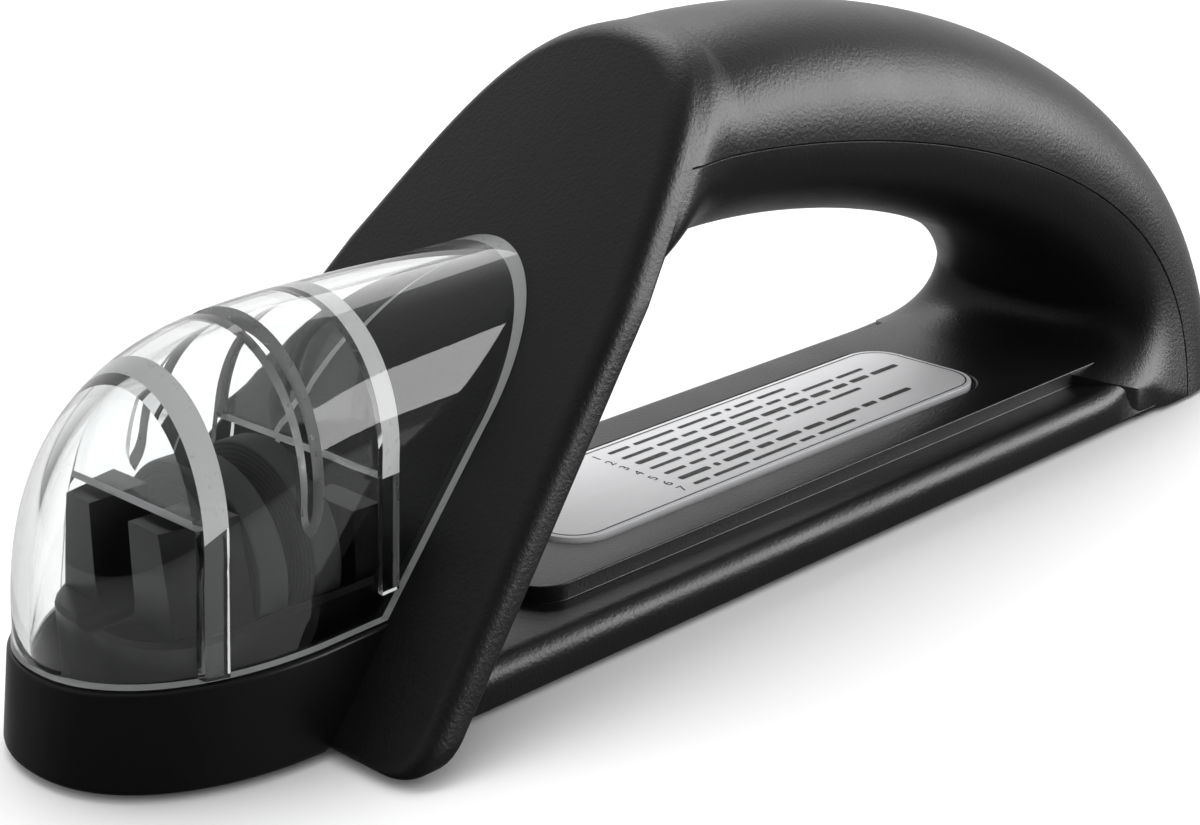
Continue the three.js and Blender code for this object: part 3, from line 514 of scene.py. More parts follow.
def moulded_plastic(name, colour, grain, depth, roughness, specular):
    """Black plastic moulded in a spark-eroded tool: a fine even grain that scatters the highlight."""
    material, tree, shader = new_material(name)
    place = add_node(tree, "ShaderNodeTexCoord").outputs["Object"]
    # A moulded grain is finer than a render of this size shows, so it is drawn coarser
    noise = {"Vector": place, "Scale": noise_scale(grain), "Detail": 3.0, "Roughness": 0.6}
    fine = add_node(tree, "ShaderNodeTexNoise", noise).outputs["Fac"]
    bump = add_node(tree, "ShaderNodeBump", {"Height": fine, "Distance": depth, "Strength": 0.6})
    shaded_paint(tree, shader, colour, fine, 0.82, 1.18)
    cloudy_gloss(tree, shader, 14 * MM, roughness - 0.03, roughness + 0.03)
    look = {"Normal": bump.outputs["Normal"], "IOR": 1.53, "Specular IOR Level": specular}
    set_inputs(tree, shader, look)
    return material


def clear_plastic(colour):
    """Polished SAN: colourless, glossy, with faint flow marks from moulding."""
    material, tree, shader = new_material("clear_polished_san")
    place = add_node(tree, "ShaderNodeTexCoord").outputs["Object"]
    noise = {"Vector": place, "Scale": noise_scale(18 * MM), "Detail": 1.0}
    flow = add_node(tree, "ShaderNodeTexNoise", noise).outputs["Fac"]
    bump = add_node(tree, "ShaderNodeBump", {"Height": flow, "Distance": 0.06 * MM, "Strength": 0.25})
    look = {"Base Color": (*colour, 1), "Roughness": 0.02, "IOR": 1.5, "Transmission Weight": 1.0}
    set_inputs(tree, shader, {"Normal": bump.outputs["Normal"], **look})
    return material


def painted_highlight_edge(name, colour, clearness):
    """The same plastic, satin and partly opaque white: painted highlight, edges painted whitish in place of
    the light that clear edges gather; clearness sets how much stays clear.
    """
    material, tree, shader = new_material(name)
    cloudy_gloss(tree, shader, 1.4 * MM, 0.25, 0.5)
    look = {"Base Color": (*colour, 1), "IOR": 1.5, "Transmission Weight": clearness}
    set_inputs(tree, shader, look)
    return material


def turning_rings(tree, place, pitch):
    """Rings about the axle line, as a value from -1 to 1."""
    centred = add_node(tree, "ShaderNodeMapping", {"Vector": place, "Location": -WHEEL_CENTRE})
    flat = {0: centred.outputs["Vector"], 1: (0, 1, 1)}
    across = add_node(tree, "ShaderNodeVectorMath", flat, operation="MULTIPLY")
    radius = add_node(tree, "ShaderNodeVectorMath", {0: across.outputs["Vector"]}, operation="LENGTH")
    turns = {0: radius.outputs["Value"], 1: 2 * math.pi / pitch}
    phase = add_node(tree, "ShaderNodeMath", turns, operation="MULTIPLY")
    wave = add_node(tree, "ShaderNodeMath", {0: phase.outputs["Value"]}, operation="SINE")
    return wave.outputs["Value"]


def fired_ceramic(colour, pitch):
    """Fired ceramic ground on a lathe: matt, speckled, with fine rings."""
    material, tree, shader = new_material("ground_ceramic")
    place = add_node(tree, "ShaderNodeTexCoord").outputs["Object"]
    noise = {"Vector": place, "Scale": noise_scale(0.5 * MM), "Detail": 4.0, "Roughness": 0.7}
    speckle = add_node(tree, "ShaderNodeTexNoise", noise)
    relief = {0: turning_rings(tree, place, pitch), 1: 0.35, 2: speckle.outputs["Fac"]}
    height = add_node(tree, "ShaderNodeMath", relief, operation="MULTIPLY_ADD").outputs["Value"]
    bump = add_node(tree, "ShaderNodeBump", {"Height": height, "Distance": 0.05 * MM, "Strength": 0.7})
    shaded_paint(tree, shader, colour, height, 0.7, 1.3, 0.1, 0.9)
    set_inputs(tree, shader, {"Normal": bump.outputs["Normal"], "Roughness": 0.6, "IOR": 1.7})
    return material


def turned_steel():
    """Blackened steel rod turned on a lathe: dark, with fine rings that stretch the highlight."""
    material, tree, shader = new_material("blackened_turned_steel")
    place = add_node(tree, "ShaderNodeTexCoord").outputs["Object"]
    rings = turning_rings(tree, place, 0.3 * MM)
    bump = add_node(tree, "ShaderNodeBump", {"Height": rings, "Distance": 0.01 * MM, "Strength": 0.5})
    varied_gloss(tree, shader, rings, 0.22, 0.36, -1.0, 1.0)
    look = {"Base Color": (*linear("#46474a"), 1), "Metallic": 1.0}
    set_inputs(tree, shader, {"Normal": bump.outputs["Normal"], **look})
    return material


def plated_steel():
    """Zinc-plated screw steel: soft sheen with cloudy plating."""
    material, tree, shader = new_material("zinc_plated_steel")
    cloudy_gloss(tree, shader, 1.2 * MM, 0.25, 0.45, detail=3.0)
    set_inputs(tree, shader, {"Base Color": (*linear("#b9bbbd"), 1), "Metallic": 1.0})
    return material


def nylon():
    """Machined natural nylon: off-white and slightly waxy."""
    material, tree, shader = new_material("natural_nylon")
    cloudy_gloss(tree, shader, 1.5 * MM, 0.4, 0.55)
    wax = {"Subsurface Weight": 0.1, "Subsurface Radius": (1 * MM, 0.9 * MM, 0.8 * MM)}
    set_inputs(tree, shader, {"Base Color": (*linear("#dedcd4"), 1), **wax})
    return material


def rubber():
    """Moulded black rubber: dull, with a dusty fine grain."""
    return moulded_plastic("moulded_black_rubber", linear("#131313"), 0.35 * MM, 0.05 * MM, 0.85, 0.3)


def label_coating(colour):
    """Aluminium plate under a satin white coat: faint brushed streaks along its length."""
    material, tree, shader = new_material("coated_aluminium_label")
    place = add_node(tree, "ShaderNodeTexCoord").outputs["Object"]
    streaks = add_node(tree, "ShaderNodeMapping", {"Vector": place, "Scale": (0.02, 1, 1)})
    noise = {"Vector": streaks.outputs["Vector"], "Scale": noise_scale(0.3 * MM), "Detail": 2.0}
    brush = add_node(tree, "ShaderNodeTexNoise", noise).outputs["Fac"]
    varied_gloss(tree, shader, brush, 0.34, 0.46)
    shaded_paint(tree, shader, colour, brush, 0.97, 1.03)
    return material


def label_ink(colour):
    """Screen-printed ink: matt, a little uneven."""
    material, tree, shader = new_material("screen_print_ink")
    cloudy_gloss(tree, shader, 0.8 * MM, 0.5, 0.7)
    set_inputs(tree, shader, {"Base Color": (*colour, 1)})
    return material


def shared_plastic(name, *look):
    """The moulded plastic of that name, made on its first use."""
    return bpy.data.materials.get(name) or moulded_plastic(name, *look)


def handle_material(scene):
    colour = scene.sharpener_colours.handle
    return shared_plastic("grained_black_abs", colour, scene.sharpener_sizes.grain, 0.12 * MM, 0.38, 0.5)


def tray_material(scene):
    colour = scene.sharpener_colours.tray
    return shared_plastic("smooth_black_abs", colour, 0.8 * MM, 0.01 * MM, 0.34, 0.4)


# Shield
def shield_outline(inset):
    """Outline of the shield as (y, distance up the slope) pairs, anticlockwise from the lower right."""
    foot = SHIELD_FOOT_HALF - inset
    spring = SHIELD_SPRING_HALF - inset
    top = SHIELD_TOP_Z * SHIELD_SLOPE - inset
    low = UNDERSIDE_Z * SHIELD_SLOPE + inset
    spring_up = SHIELD_SPRING_Z * SHIELD_SLOPE
    shoulder = SHIELD_TOP_Z * SHIELD_SHOULDER * SHIELD_SLOPE
    taper = (SHIELD_FOOT_HALF - SHIELD_SPRING_HALF) / SHIELD_SPRING_Z
    corner = SHIELD_CORNER
    right = []
    for i in range(SHIELD_CORNER_STEPS + 1):
        t = i / SHIELD_CORNER_STEPS
        y = (1 - t) ** 2 * (foot - corner) + 2 * (1 - t) * t * foot + t * t * (foot - taper * corner)
        up = (1 - t) ** 2 * low + 2 * (1 - t) * t * low + t * t * (low + corner)
        right.append((y, up))
    side_y, side_up = right[-1]
    for i in range(1, SHIELD_SIDE_STEPS + 1):
        t = i / SHIELD_SIDE_STEPS
        right.append((mix(side_y, spring, t), mix(side_up, spring_up, t)))
    first, second = [spring * pull for pull in SHIELD_ARCH_PULLS]
    for i in range(1, SHIELD_ARCH_STEPS + 1):
        t = i / SHIELD_ARCH_STEPS
        right.append((cubic(spring, first, second, 0, t), cubic(spring_up, shoulder, top, top, t)))
    left = [(-y, up) for y, up in reversed(right[:-1])]
    return right + left


def shield_half_at(z):
    """Half width of the shield at a height above its spring line."""
    up = z * SHIELD_SLOPE
    points = [p for p in shield_outline(0) if p[0] >= 0]
    for (y0, up0), (y1, up1) in zip(points, points[1:]):
        if up0 <= up <= up1 and up1 > up0:
            return mix(y0, y1, (up - up0) / (up1 - up0))
    return 0.0


def shield_point(y, up, depth):
    return (
        SHIELD_FOOT_X + up * SHIELD_RUN / SHIELD_SLOPE + depth * SHIELD_SLOPE,
        y,
        up / SHIELD_SLOPE,
    )


class SHARPENER_OT_shield(bpy.types.Operator):
    """Leaning shield plate with a rounded front edge and a pocket for the rear wheel"""

    bl_idname = "sharpener.shield"
    bl_label = "Shield"

    def execute(self, context):
        levels = round_edge(context.scene.sharpener_sizes.shield_edge, 8)
        levels += [(inset, SHIELD_THICKNESS - drop) for drop, inset in round_edge(SHIELD_BACK_EDGE, 4)]
        rings = []
        for inset, depth in levels:
            rings.append([shield_point(y, up, depth) for y, up in shield_outline(inset)])
        bm = bmesh.new()
        capped_loft(bm, rings)
        material = handle_material(context.scene)
        made = piece("shield_plate", bm, material, "base", ["shield"])
        self.cut_wheel_pocket(context, made)
        return {"FINISHED"}

    def cut_wheel_pocket(self, context, made):
        """Hollows the plate where the rear wheel turns close to it."""
        room = bmesh.new()
        reach = WHEEL_OUTER + POCKET_SIDE_ROOM
        radius = WHEEL_RADIUS + POCKET_RIM_ROOM
        profile = [(-reach, PIN_POINT), (-reach, radius), (reach, radius), (reach, PIN_POINT)]
        turned(room, profile, AXLE_SIDES)
        bmesh.ops.remove_doubles(room, verts=room.verts, dist=WELD)
        bmesh.ops.recalc_face_normals(room, faces=room.faces)
        mesh = bpy.data.meshes.new("wheel_room")
        room.to_mesh(mesh)
        room.free()
        cutter = bpy.data.objects.new("wheel_room", mesh)
        context.scene.collection.objects.link(cutter)
        pocket = made.modifiers.new("pocket", "BOOLEAN")
        pocket.operation = "DIFFERENCE"
        pocket.object = cutter
        plain_mesh(made)
        bpy.data.objects.remove(cutter)


# Handle
def shield_back_at(z):
    return SHIELD_FOOT_X + SHIELD_RUN * z + (SHIELD_THICKNESS + FIT) * SHIELD_SLOPE


INNER_LIMIT = DECK_HALF - TOUCH
START_TOP_X = shield_back_at(GRIP_TOP_Z)
START_UNDER_Z = GRIP_UNDER_Z - GRIP_DIP
START_UNDER_X = shield_back_at(START_UNDER_Z)
INNER_X = START_TOP_X - INNER_START


def outer_line(t):
    x = cubic(START_TOP_X, mix(START_TOP_X, REAR_X, OUTER_PULL), REAR_X, REAR_X, t)
    z = cubic(GRIP_TOP_Z, GRIP_TOP_Z + GRIP_CROWN, GRIP_TOP_Z * OUTER_DROP, UNDERSIDE_Z, t)
    return Vector((x, 0, z))


def inner_line(t):
    if t <= INNER_BEND:
        u = t / INNER_BEND
        run = INNER_REAR_X - INNER_X
        first, second = [INNER_X + pull * run for pull in INNER_PULLS]
        x = cubic(INNER_X, first, second, INNER_REAR_X, u)
        z = cubic(START_UNDER_Z, GRIP_UNDER_Z, GRIP_UNDER_Z * INNER_DROP, INNER_REAR_Z, u)
        return Vector((x, 0, z))
    u = (t - INNER_BEND) / (1 - INNER_BEND)
    x = INNER_REAR_X + LEG_BULGE * u - (LEG_TOE + LEG_BULGE) * u * u
    z = INNER_REAR_Z - (INNER_REAR_Z - PLATFORM_Z) * (1 - (1 - u) ** 2)
    return Vector((x, 0, z))


def seam_line(t):
    """The seam lies halfway between the outer line and a line under the grip."""
    run = SEAM_FOOT_X - INNER_X
    first, second = [INNER_X + pull * run for pull in SEAM_PULLS]
    x = cubic(INNER_X, first, second, SEAM_FOOT_X, t)
    z = cubic(SEAM_UNDER_Z, SEAM_UNDER_Z * SEAM_DROPS[0], SEAM_UNDER_Z * SEAM_DROPS[1], UNDERSIDE_Z, t)
    return (outer_line(t) + Vector((x, 0, z))) / 2


def handle_station(t):
    """Section of the handle: side lines, seam, half width and roundness.

    t runs from -1 at the shield through 0 where the grip is free to 1 on the ground.
    """
    if t >= 0:
        return {
            "outer": outer_line(t),
            "inner": inner_line(t),
            "seam": seam_line(t),
            "half": mix(GRIP_HALF, LEG_HALF, t * t) + FOOT_FLARE * t ** FOOT_FLARE_ONSET,
            "power": mix(GRIP_EXPONENT, TOE_EXPONENT, t ** TOE_ONSET),
            "flush": 0.0,
        }
    share = 1 + t
    ease = share ** FLUSH_EASE
    first = Vector(((START_TOP_X + START_UNDER_X) / 2, 0, (GRIP_TOP_Z + START_UNDER_Z) / 2))
    under = Vector((START_UNDER_X, 0, START_UNDER_Z))
    return {
        "outer": outer_line(0),
        "inner": under.lerp(inner_line(0), share),
        "seam": first.lerp(seam_line(0), share),
        "half": GRIP_HALF,
        "power": mix(FLARE_EXPONENT, GRIP_EXPONENT, 1 - (1 - share) ** 2),
        "flush": (1 - ease) ** 2 * (1 + 2 * ease),
    }


def half_ring(station, side, sizes):
    """One closed ring of a half tube: outside arc, seam edges and inside arc."""
    seam = station["seam"]
    depth = station[side] - seam
    start = sizes.seam_gap / 2 / depth.length
    edge = sizes.seam_edge / depth.length
    power = station["power"] if side == "inner" else GRIP_EXPONENT
    ring = []
    for wall in (0.0, SHELL_WALL):
        arc = []
        for i in range(sizes.arc_points + 1):
            angle = math.pi * i / sizes.arc_points
            across = math.copysign(abs(math.cos(angle)) ** (2 / power), math.cos(angle))
            out = abs(math.sin(angle)) ** (2 / power)
            low = start + (edge if wall == 0 else 0)
            place = seam + depth * (low + (1 - low - wall / depth.length) * out)
            half = station["half"] - wall
            across_y = across * half
            if station["flush"] > 0 and wall == 0:
                beside = math.copysign(shield_half_at(place.z) + TOUCH, across)
                if side == "inner":
                    beside *= abs(across)
                across_y = mix(across_y, beside, station["flush"])
            if side == "inner" and place.x < DECK_END_X:
                across_y = max(-INNER_LIMIT, min(INNER_LIMIT, across_y))
            arc.append(Vector((place.x, across_y, place.z)))
        if wall == 0:
            lip = seam + depth * start
            for end in (0, -1):
                y = arc[end].y
                corner = Vector((lip.x, y - math.copysign(sizes.seam_edge, y), lip.z))
                arc.insert(0 if end == 0 else len(arc), corner)
            ring += arc
        else:
            ring += reversed(arc)
    return ring


def half_tube(bm, side, sizes):
    """One half of the handle, which starts over the shield's flank and ends on the ground."""
    stations = [handle_station(i / START_RINGS - 1) for i in range(START_RINGS)]
    stations += [handle_station(i / GRIP_RINGS) for i in range(GRIP_RINGS + 1)]
    rings = [half_ring(station, side, sizes) for station in stations]
    reach = (SHIELD_THICKNESS + FIT - sizes.shield_edge) * SHIELD_SLOPE
    rings.insert(0, [point - Vector((reach, 0, 0)) for point in rings[0]])
    if side == "inner":
        rings.append([Vector((point.x, point.y, UNDERSIDE_Z + TOUCH)) for point in rings[-1]])
    capped_loft(bm, rings)


class SHARPENER_OT_grip_cover(bpy.types.Operator):
    """Outer half of the handle, from the top of the shield to the ground at the rear"""

    bl_idname = "sharpener.grip_cover"
    bl_label = "Grip cover"

    def execute(self, context):
        bm = bmesh.new()
        half_tube(bm, "outer", context.scene.sharpener_sizes)
        material = handle_material(context.scene)
        piece("grip_cover_shell", bm, material, "base", ["grip_cover"])
        return {"FINISHED"}


def flange_sweep(x):
    """Height that the flange gains towards the leg."""
    run = min(1, max(0, (x - FLANGE_SWEEP_X) / FLANGE_SWEEP_RUN))
    return FLANGE_SWEEP * run ** FLANGE_SWEEP_POWER


def deck_outline(inset):
    """Plan outline of the base: straight sides that end in a small corner beside the leg."""
    half = DECK_HALF - inset
    front_x = SHIELD_FOOT_X - DECK_LAP
    end_x = DECK_END_X - min(inset, DECK_END_CORNER)
    corner = max(DECK_END_CORNER - inset, DECK_LEAST_CORNER)
    side = [mix(front_x, end_x - corner, i / DECK_SIDE_STEPS) for i in range(DECK_SIDE_STEPS)]
    turn = [(end_x - drop, half - inward) for drop, inward in round_edge(corner, 6)]
    points = [(x, -half) for x in side]
    points += [(x, -y) for x, y in turn]
    points += reversed(turn)
    points += [(x, half) for x in reversed(side)]
    return points


def flange_rings(edge):
    """Rings from the foot over the bead to the top; near the leg they sweep up and lean in."""
    levels = [(UNDERSIDE_Z + FLANGE_FOOT * up, FLANGE_FOOT * inset, 0) for up, inset in FLANGE_FOOT_STEPS]
    levels += [(FLANGE_Z - drop, inset, 1) for drop, inset in round_edge(edge, 8)]
    levels += [(FLANGE_Z, inset, 1) for inset in FLANGE_TOP_INSETS]
    levels.append((FLANGE_Z, FLANGE_CORE_INSET, 0))
    rings = []
    for z, inset, follow in levels:
        ring = []
        for x, y in deck_outline(inset):
            lift = follow * flange_sweep(x)
            lean = math.copysign(FLANGE_LEAN * lift, y)
            ring.append((x, y - lean, z + lift))
        rings.append(ring)
    return rings


def label_outline(inset):
    ends = (LABEL_LOW.x + inset, LABEL_HIGH.x - inset)
    return rounded_bar(*ends, LABEL_HIGH.y - inset, LABEL_CORNER - inset)


def platform_rings(sizes):
    """Rings from the hollow fillet at the flange up over the lip and down into the label recess."""
    levels = []
    for drop, inset in round_edge(sizes.platform_fillet, 7):
        levels.append((FLANGE_Z - TOUCH + inset, -drop))
    for drop, inset in round_edge(sizes.platform_edge, 7):
        levels.append((PLATFORM_Z - drop, inset))
    rings = []
    for z, inset in levels:
        ends = (PLATFORM_FRONT_X + inset, PLATFORM_REAR_X - inset)
        outline = rounded_bar(*ends, PLATFORM_HALF - inset, PLATFORM_CORNER - inset)
        rings.append(at_height(outline, z))
    groove = sizes.label_groove
    for drop, inset in round_edge(RECESS_EDGE, 4):
        rings.append(at_height(label_outline(-groove - drop), PLATFORM_Z - inset))
    rings.append(at_height(label_outline(-groove), PLATFORM_Z - RECESS_DEPTH))
    return rings


class SHARPENER_OT_body_shell(bpy.types.Operator):
    """Inner half of the handle with the base deck, its flange bead and its raised platform"""

    bl_idname = "sharpener.body_shell"
    bl_label = "Body shell"

    def execute(self, context):
        sizes = context.scene.sharpener_sizes
        bm = bmesh.new()
        capped_loft(bm, flange_rings(sizes.flange_edge))
        cut_by_shield(bm, SHIELD_THICKNESS + TOUCH, False)
        capped_loft(bm, platform_rings(sizes))
        half_tube(bm, "inner", sizes)
        material = handle_material(context.scene)
        piece("body_shell_moulding", bm, material, "base", ["body_shell"])
        return {"FINISHED"}


# Label; each row has the height of its bars in millimetres and their lengths in bar units
PRINT_ROWS = (
    (0.8, (4, 8, 6, 2, 1, 4, 6)),
    (0.8, (6, 4, 3, 5, 7, 3, 3, 7, 6)),
    (1.1, (6, 7, 5, 4, 5, 4, 4, 3, 4, 6)),
    (0.8, (6, 3, 8, 5, 3, 4, 2, 7)),
    (0.8, (4, 3, 3, 4, 5)),
    (1.1, (6, 1, 6, 3, 5, 4, 7, 3, 7)),
    (0.8, (3, 7, 9, 3, 8)),
)


class SHARPENER_OT_label(bpy.types.Operator):
    """Label plate in the platform with plain printed bars and step numerals"""

    bl_idname = "sharpener.label"
    bl_label = "Label"

    def execute(self, context):
        colours = context.scene.sharpener_colours
        rings = [at_height(label_outline(0), LABEL_LOW.z - LABEL_SINK)]
        for drop, inset in round_edge(LABEL_EDGE, 3):
            rings.append(at_height(label_outline(inset), LABEL_HIGH.z - drop))
        bm = bmesh.new()
        capped_loft(bm, rings)
        piece("label_sheet", bm, label_coating(colours.label), "base", ["label_plate"])
        self.print_bars(label_ink(colours.print), LABEL_HIGH.z + TOUCH)
        return {"FINISHED"}

    def print_bars(self, ink, z):
        """A thin border, rows of bars in the manner of printed lines, and a numeral before each row."""
        first_x = LABEL_LOW.x + PRINT_START
        last_x = LABEL_HIGH.x - PRINT_END
        bm = bmesh.new()
        loft(bm, [at_height(label_outline(inset), z) for inset in BORDER_INSETS])
        for row, (height, lengths) in enumerate(PRINT_ROWS):
            bar_height = height * MM
            y = (len(PRINT_ROWS) // 2 - row) * ROW_PITCH
            x = first_x
            for length in lengths:
                width = length * BAR_UNIT
                if x + width > last_x:
                    break
                outline = rounded_bar(x, x + width, bar_height / 2, bar_height * BAR_CORNER, 3)
                bm.faces.new([bm.verts.new((px, py + y, z)) for px, py in outline])
                x += width + BAR_SPACE
        piece("label_print_bars", bm, ink, "base", [])
        for row in range(len(PRINT_ROWS)):
            y = (len(PRINT_ROWS) // 2 - row) * ROW_PITCH
            self.numeral(str(row + 1), (first_x - NUMERAL_SPACE, y, z), ink)

    def numeral(self, text, place, ink):
        """A printed numeral, made a mesh before its place is applied."""
        curve = bpy.data.curves.new("step_numeral_" + text, "FONT")
        curve.body = text
        curve.size = NUMERAL_SIZE
        curve.align_x = "CENTER"
        curve.align_y = "CENTER"
        drawn = bpy.data.objects.new("step_numeral_" + text, curve)
        bpy.context.scene.collection.objects.link(drawn)
        bpy.context.view_layer.update()
        graph = bpy.context.evaluated_depsgraph_get()
        mesh = bpy.data.meshes.new_from_object(drawn.evaluated_get(graph))
        bpy.data.objects.remove(drawn)
        mesh.transform(Matrix.Translation(place))
        mesh.materials.clear()
        mesh.materials.append(ink)
        made = bpy.data.objects.new("label_step_" + text, mesh)
        bpy.context.scene.collection.objects.link(made)
        settle(made, "base", [])


# Tray
def nose_outline(inset, rear_x):
    """Plan outline of tray and cover: a superellipse nose and slightly closing sides."""
    points = []
    for i in range(NOSE_STEPS + 1):
        angle = math.pi / 2 + math.pi * i / NOSE_STEPS
        across = math.copysign(abs(math.sin(angle)) ** (2 / NOSE_EXPONENT), math.sin(angle))
        along = abs(math.cos(angle)) ** (2 / NOSE_EXPONENT)
        points.append((NOSE_CENTRE_X - (NOSE_LENGTH - inset) * along, (NOSE_HALF - inset) * across))
    rear_half = NOSE_HALF - inset - NOSE_TAPER * (rear_x - NOSE_CENTRE_X)
    points.append((rear_x, -rear_half))
    points.append((rear_x, rear_half))
    return points


class SHARPENER_OT_tray(bpy.types.Operator):
    """Water tray with drafted walls and a rounded foot"""

    bl_idname = "sharpener.tray"
    bl_label = "Tray"

    def execute(self, context):
        levels = [(UNDERSIDE_Z + drop, inset) for drop, inset in reversed(round_edge(TRAY_FOOT_EDGE, 6))]
        levels += [(TRAY_TOP_Z - drop, TRAY_DRAFT + inset) for drop, inset in round_edge(TRAY_SHOULDER, 5)]
        levels += [(TRAY_TOP_Z - inset, TRAY_WALL - drop) for drop, inset in round_edge(TRAY_INNER_EDGE, 4)]
        levels.append((TRAY_FLOOR_Z, TRAY_WALL))
        rear_x = TRAY_HIGH.x + TRAY_CUT_ROOM
        bm = bmesh.new()
        capped_loft(bm, [at_height(nose_outline(inset, rear_x), z) for z, inset in levels])
        cut_by_shield(bm, -TOUCH, True)
        piece("water_tray", bm, tray_material(context.scene), "base", ["front_tray"])
        return {"FINISHED"}


# Cradle
class SHARPENER_OT_cradle(bpy.types.Operator):
    """Wheel cradle: low tub with a round trough and two notched axle walls"""

    bl_idname = "sharpener.cradle"
    bl_label = "Wheel cradle"

    def execute(self, context):
        softened_node(
            "wheel_cradle",
            "wheel_cradle_moulding",
            tray_material(context.scene),
            edge=0.35 * MM,
            segments=3,
            angle=35,
            reshape=self.thicken_front_wall,
        )
        return {"FINISHED"}

    def thicken_front_wall(self, bm):
        """Draws the front axle wall forward and up to the cover's web, narrower towards nose and top."""
        for vert in bm.verts:
            place = vert.co
            on_face = abs(place.x - CRADLE_FACE_X) < NEAR
            on_top = place.x < WHEEL_CENTRE.x and place.z > CRADLE_TOP_Z - NEAR
            if abs(place.y) > CRADLE_NOTCH_HALF:
                place.y *= CRADLE_TAPER ** (on_face + on_top)
            if on_face:
                place.x = CRADLE_BLOCK_X
            if on_top:
                place.z = CRADLE_BLOCK_TOP_Z


# Wheels, axle and bearings
def wheel_profile(direction):
    """Closed profile of one wheel: bore, outer face, rounded rim and the cone that makes half of the V."""
    bore = AXLE_RADIUS + SLEEVE_WALL
    profile = [(HUB_GAP, bore), (WHEEL_OUTER - BORE_CHAMFER, bore), (WHEEL_OUTER, bore + BORE_CHAMFER)]
    profile += [(WHEEL_OUTER - inset, WHEEL_RADIUS - drop) for drop, inset in round_edge(WHEEL_RIM_EDGE, 5)]
    profile += [(VEE + drop, WHEEL_RADIUS - inset) for drop, inset in round_edge(WHEEL_LIP_EDGE, 4)]
    profile.append((HUB_GAP, HUB_RADIUS))
    return [(along * direction, radius) for along, radius in profile]


class SHARPENER_OT_wheels(bpy.types.Operator):
    """Two ceramic wheels whose facing cones make the sharpening V"""

    bl_idname = "sharpener.wheels"
    bl_label = "Ceramic wheels"

    def execute(self, context):
        colours = context.scene.sharpener_colours
        pitch = context.scene.sharpener_sizes.turning_pitch
        material = fired_ceramic(colours.wheel, pitch)
        for name, direction in (("front_wheel", -1), ("rear_wheel", 1)):
            bm = bmesh.new()
            turned(bm, wheel_profile(direction), WHEEL_SIDES)
            piece(name + "_stone", bm, material, name + "_set", [name])
        return {"FINISHED"}


def ring_profile(node):
    """Closed profile of a sleeve or washer with softened edges, from its node's box."""
    low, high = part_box(node)
    outside = (high.y - low.y) / 2
    inside = AXLE_RADIUS + RING_ROOM
    soft = RING_EDGE
    near = low.x - WHEEL_CENTRE.x
    far = high.x - WHEEL_CENTRE.x
    return [
        (near, inside),
        (far, inside),
        (far, outside - soft),
        (far - soft, outside),
        (near + soft, outside),
        (near, outside - soft),
    ]


class SHARPENER_OT_axle_set(bpy.types.Operator):
    """Steel axle, the sleeves in the wheels and the washers beside them"""

    bl_idname = "sharpener.axle_set"
    bl_label = "Axle, sleeves and washers"

    def execute(self, context):
        near = AXLE_LOW.x - WHEEL_CENTRE.x
        far = AXLE_HIGH.x - WHEEL_CENTRE.x
        profile = [
            (near + AXLE_CENTRE_DEPTH, PIN_POINT),
            (near, AXLE_CENTRE_RADIUS),
            (near, AXLE_RADIUS - AXLE_CHAMFER),
            (near + AXLE_CHAMFER, AXLE_RADIUS),
            (far - AXLE_CHAMFER, AXLE_RADIUS),
            (far, AXLE_RADIUS - AXLE_CHAMFER),
            (far, AXLE_CENTRE_RADIUS),
            (far - AXLE_CENTRE_DEPTH, PIN_POINT),
        ]
        bm = bmesh.new()
        turned(bm, profile, AXLE_SIDES)
        piece("axle_rod", bm, turned_steel(), "base", ["axle"])
        white = nylon()
        bodies = {"front_bush": "front_wheel_set", "rear_bush": "rear_wheel_set"}
        for node in ("front_bush", "rear_bush", "front_washer", "middle_washer", "rear_washer"):
            bm = bmesh.new()
            turned(bm, ring_profile(node), AXLE_SIDES)
            piece(node + "_ring", bm, white, bodies.get(node, "base"), [node])
        return {"FINISHED"}


# Clear cover
COVER_ARC = 56
COVER_WALL_ROWS = 24
COVER_ROWS = 2 * COVER_WALL_ROWS + COVER_ARC + 1
COVER_FRONT_RINGS = 40
COVER_REAR_RINGS = 26


def cover_section(x, thinner):
    """Half width, height and spring share of the cover at a place along its length."""
    front_x = NOSE_X + COVER_INSET + thinner
    ridge_x = NOSE_X + COVER_INSET + COVER_RUN
    ahead = min(1, max(0, (ridge_x - x) / (ridge_x - front_x)))
    rise = (1 - ahead ** COVER_CROWN) ** (1 / COVER_POWER)
    reach = NOSE_LENGTH - COVER_INSET - thinner
    along = min(1, max(0, (NOSE_CENTRE_X - x) / reach))
    half = (NOSE_HALF - COVER_INSET - thinner) * (1 - along ** NOSE_EXPONENT) ** (1 / NOSE_EXPONENT)
    half -= NOSE_TAPER * max(0, x - NOSE_CENTRE_X)
    height = (COVER_TOP_Z - thinner - COVER_BASE_Z) * rise
    spring = (COVER_SPRING_Z - COVER_BASE_Z) / (COVER_TOP_Z - COVER_BASE_Z) * rise * rise
    return half, height, spring


def cover_row(x, thinner, row):
    """Point of the cover's section at x; rows run from the near rim over the top to the far rim."""
    half, height, spring = cover_section(x, thinner)
    drafted = half * (1 - COVER_DRAFT / NOSE_HALF)
    last = 2 * COVER_WALL_ROWS + COVER_ARC
    side = -1
    if row > last / 2:
        row = last - row
        side = 1
    if row < COVER_WALL_ROWS:
        share = row / COVER_WALL_ROWS
        return side * mix(half, drafted, share), COVER_BASE_Z + height * spring * share
    angle = math.pi * (row - COVER_WALL_ROWS) / COVER_ARC
    lift = spring + (1 - spring) * math.sin(angle)
    return side * drafted * math.cos(angle), COVER_BASE_Z + height * lift


def cover_point(x, thinner, row):
    y, z = cover_row(x, thinner, row)
    return Vector((x, y, z))


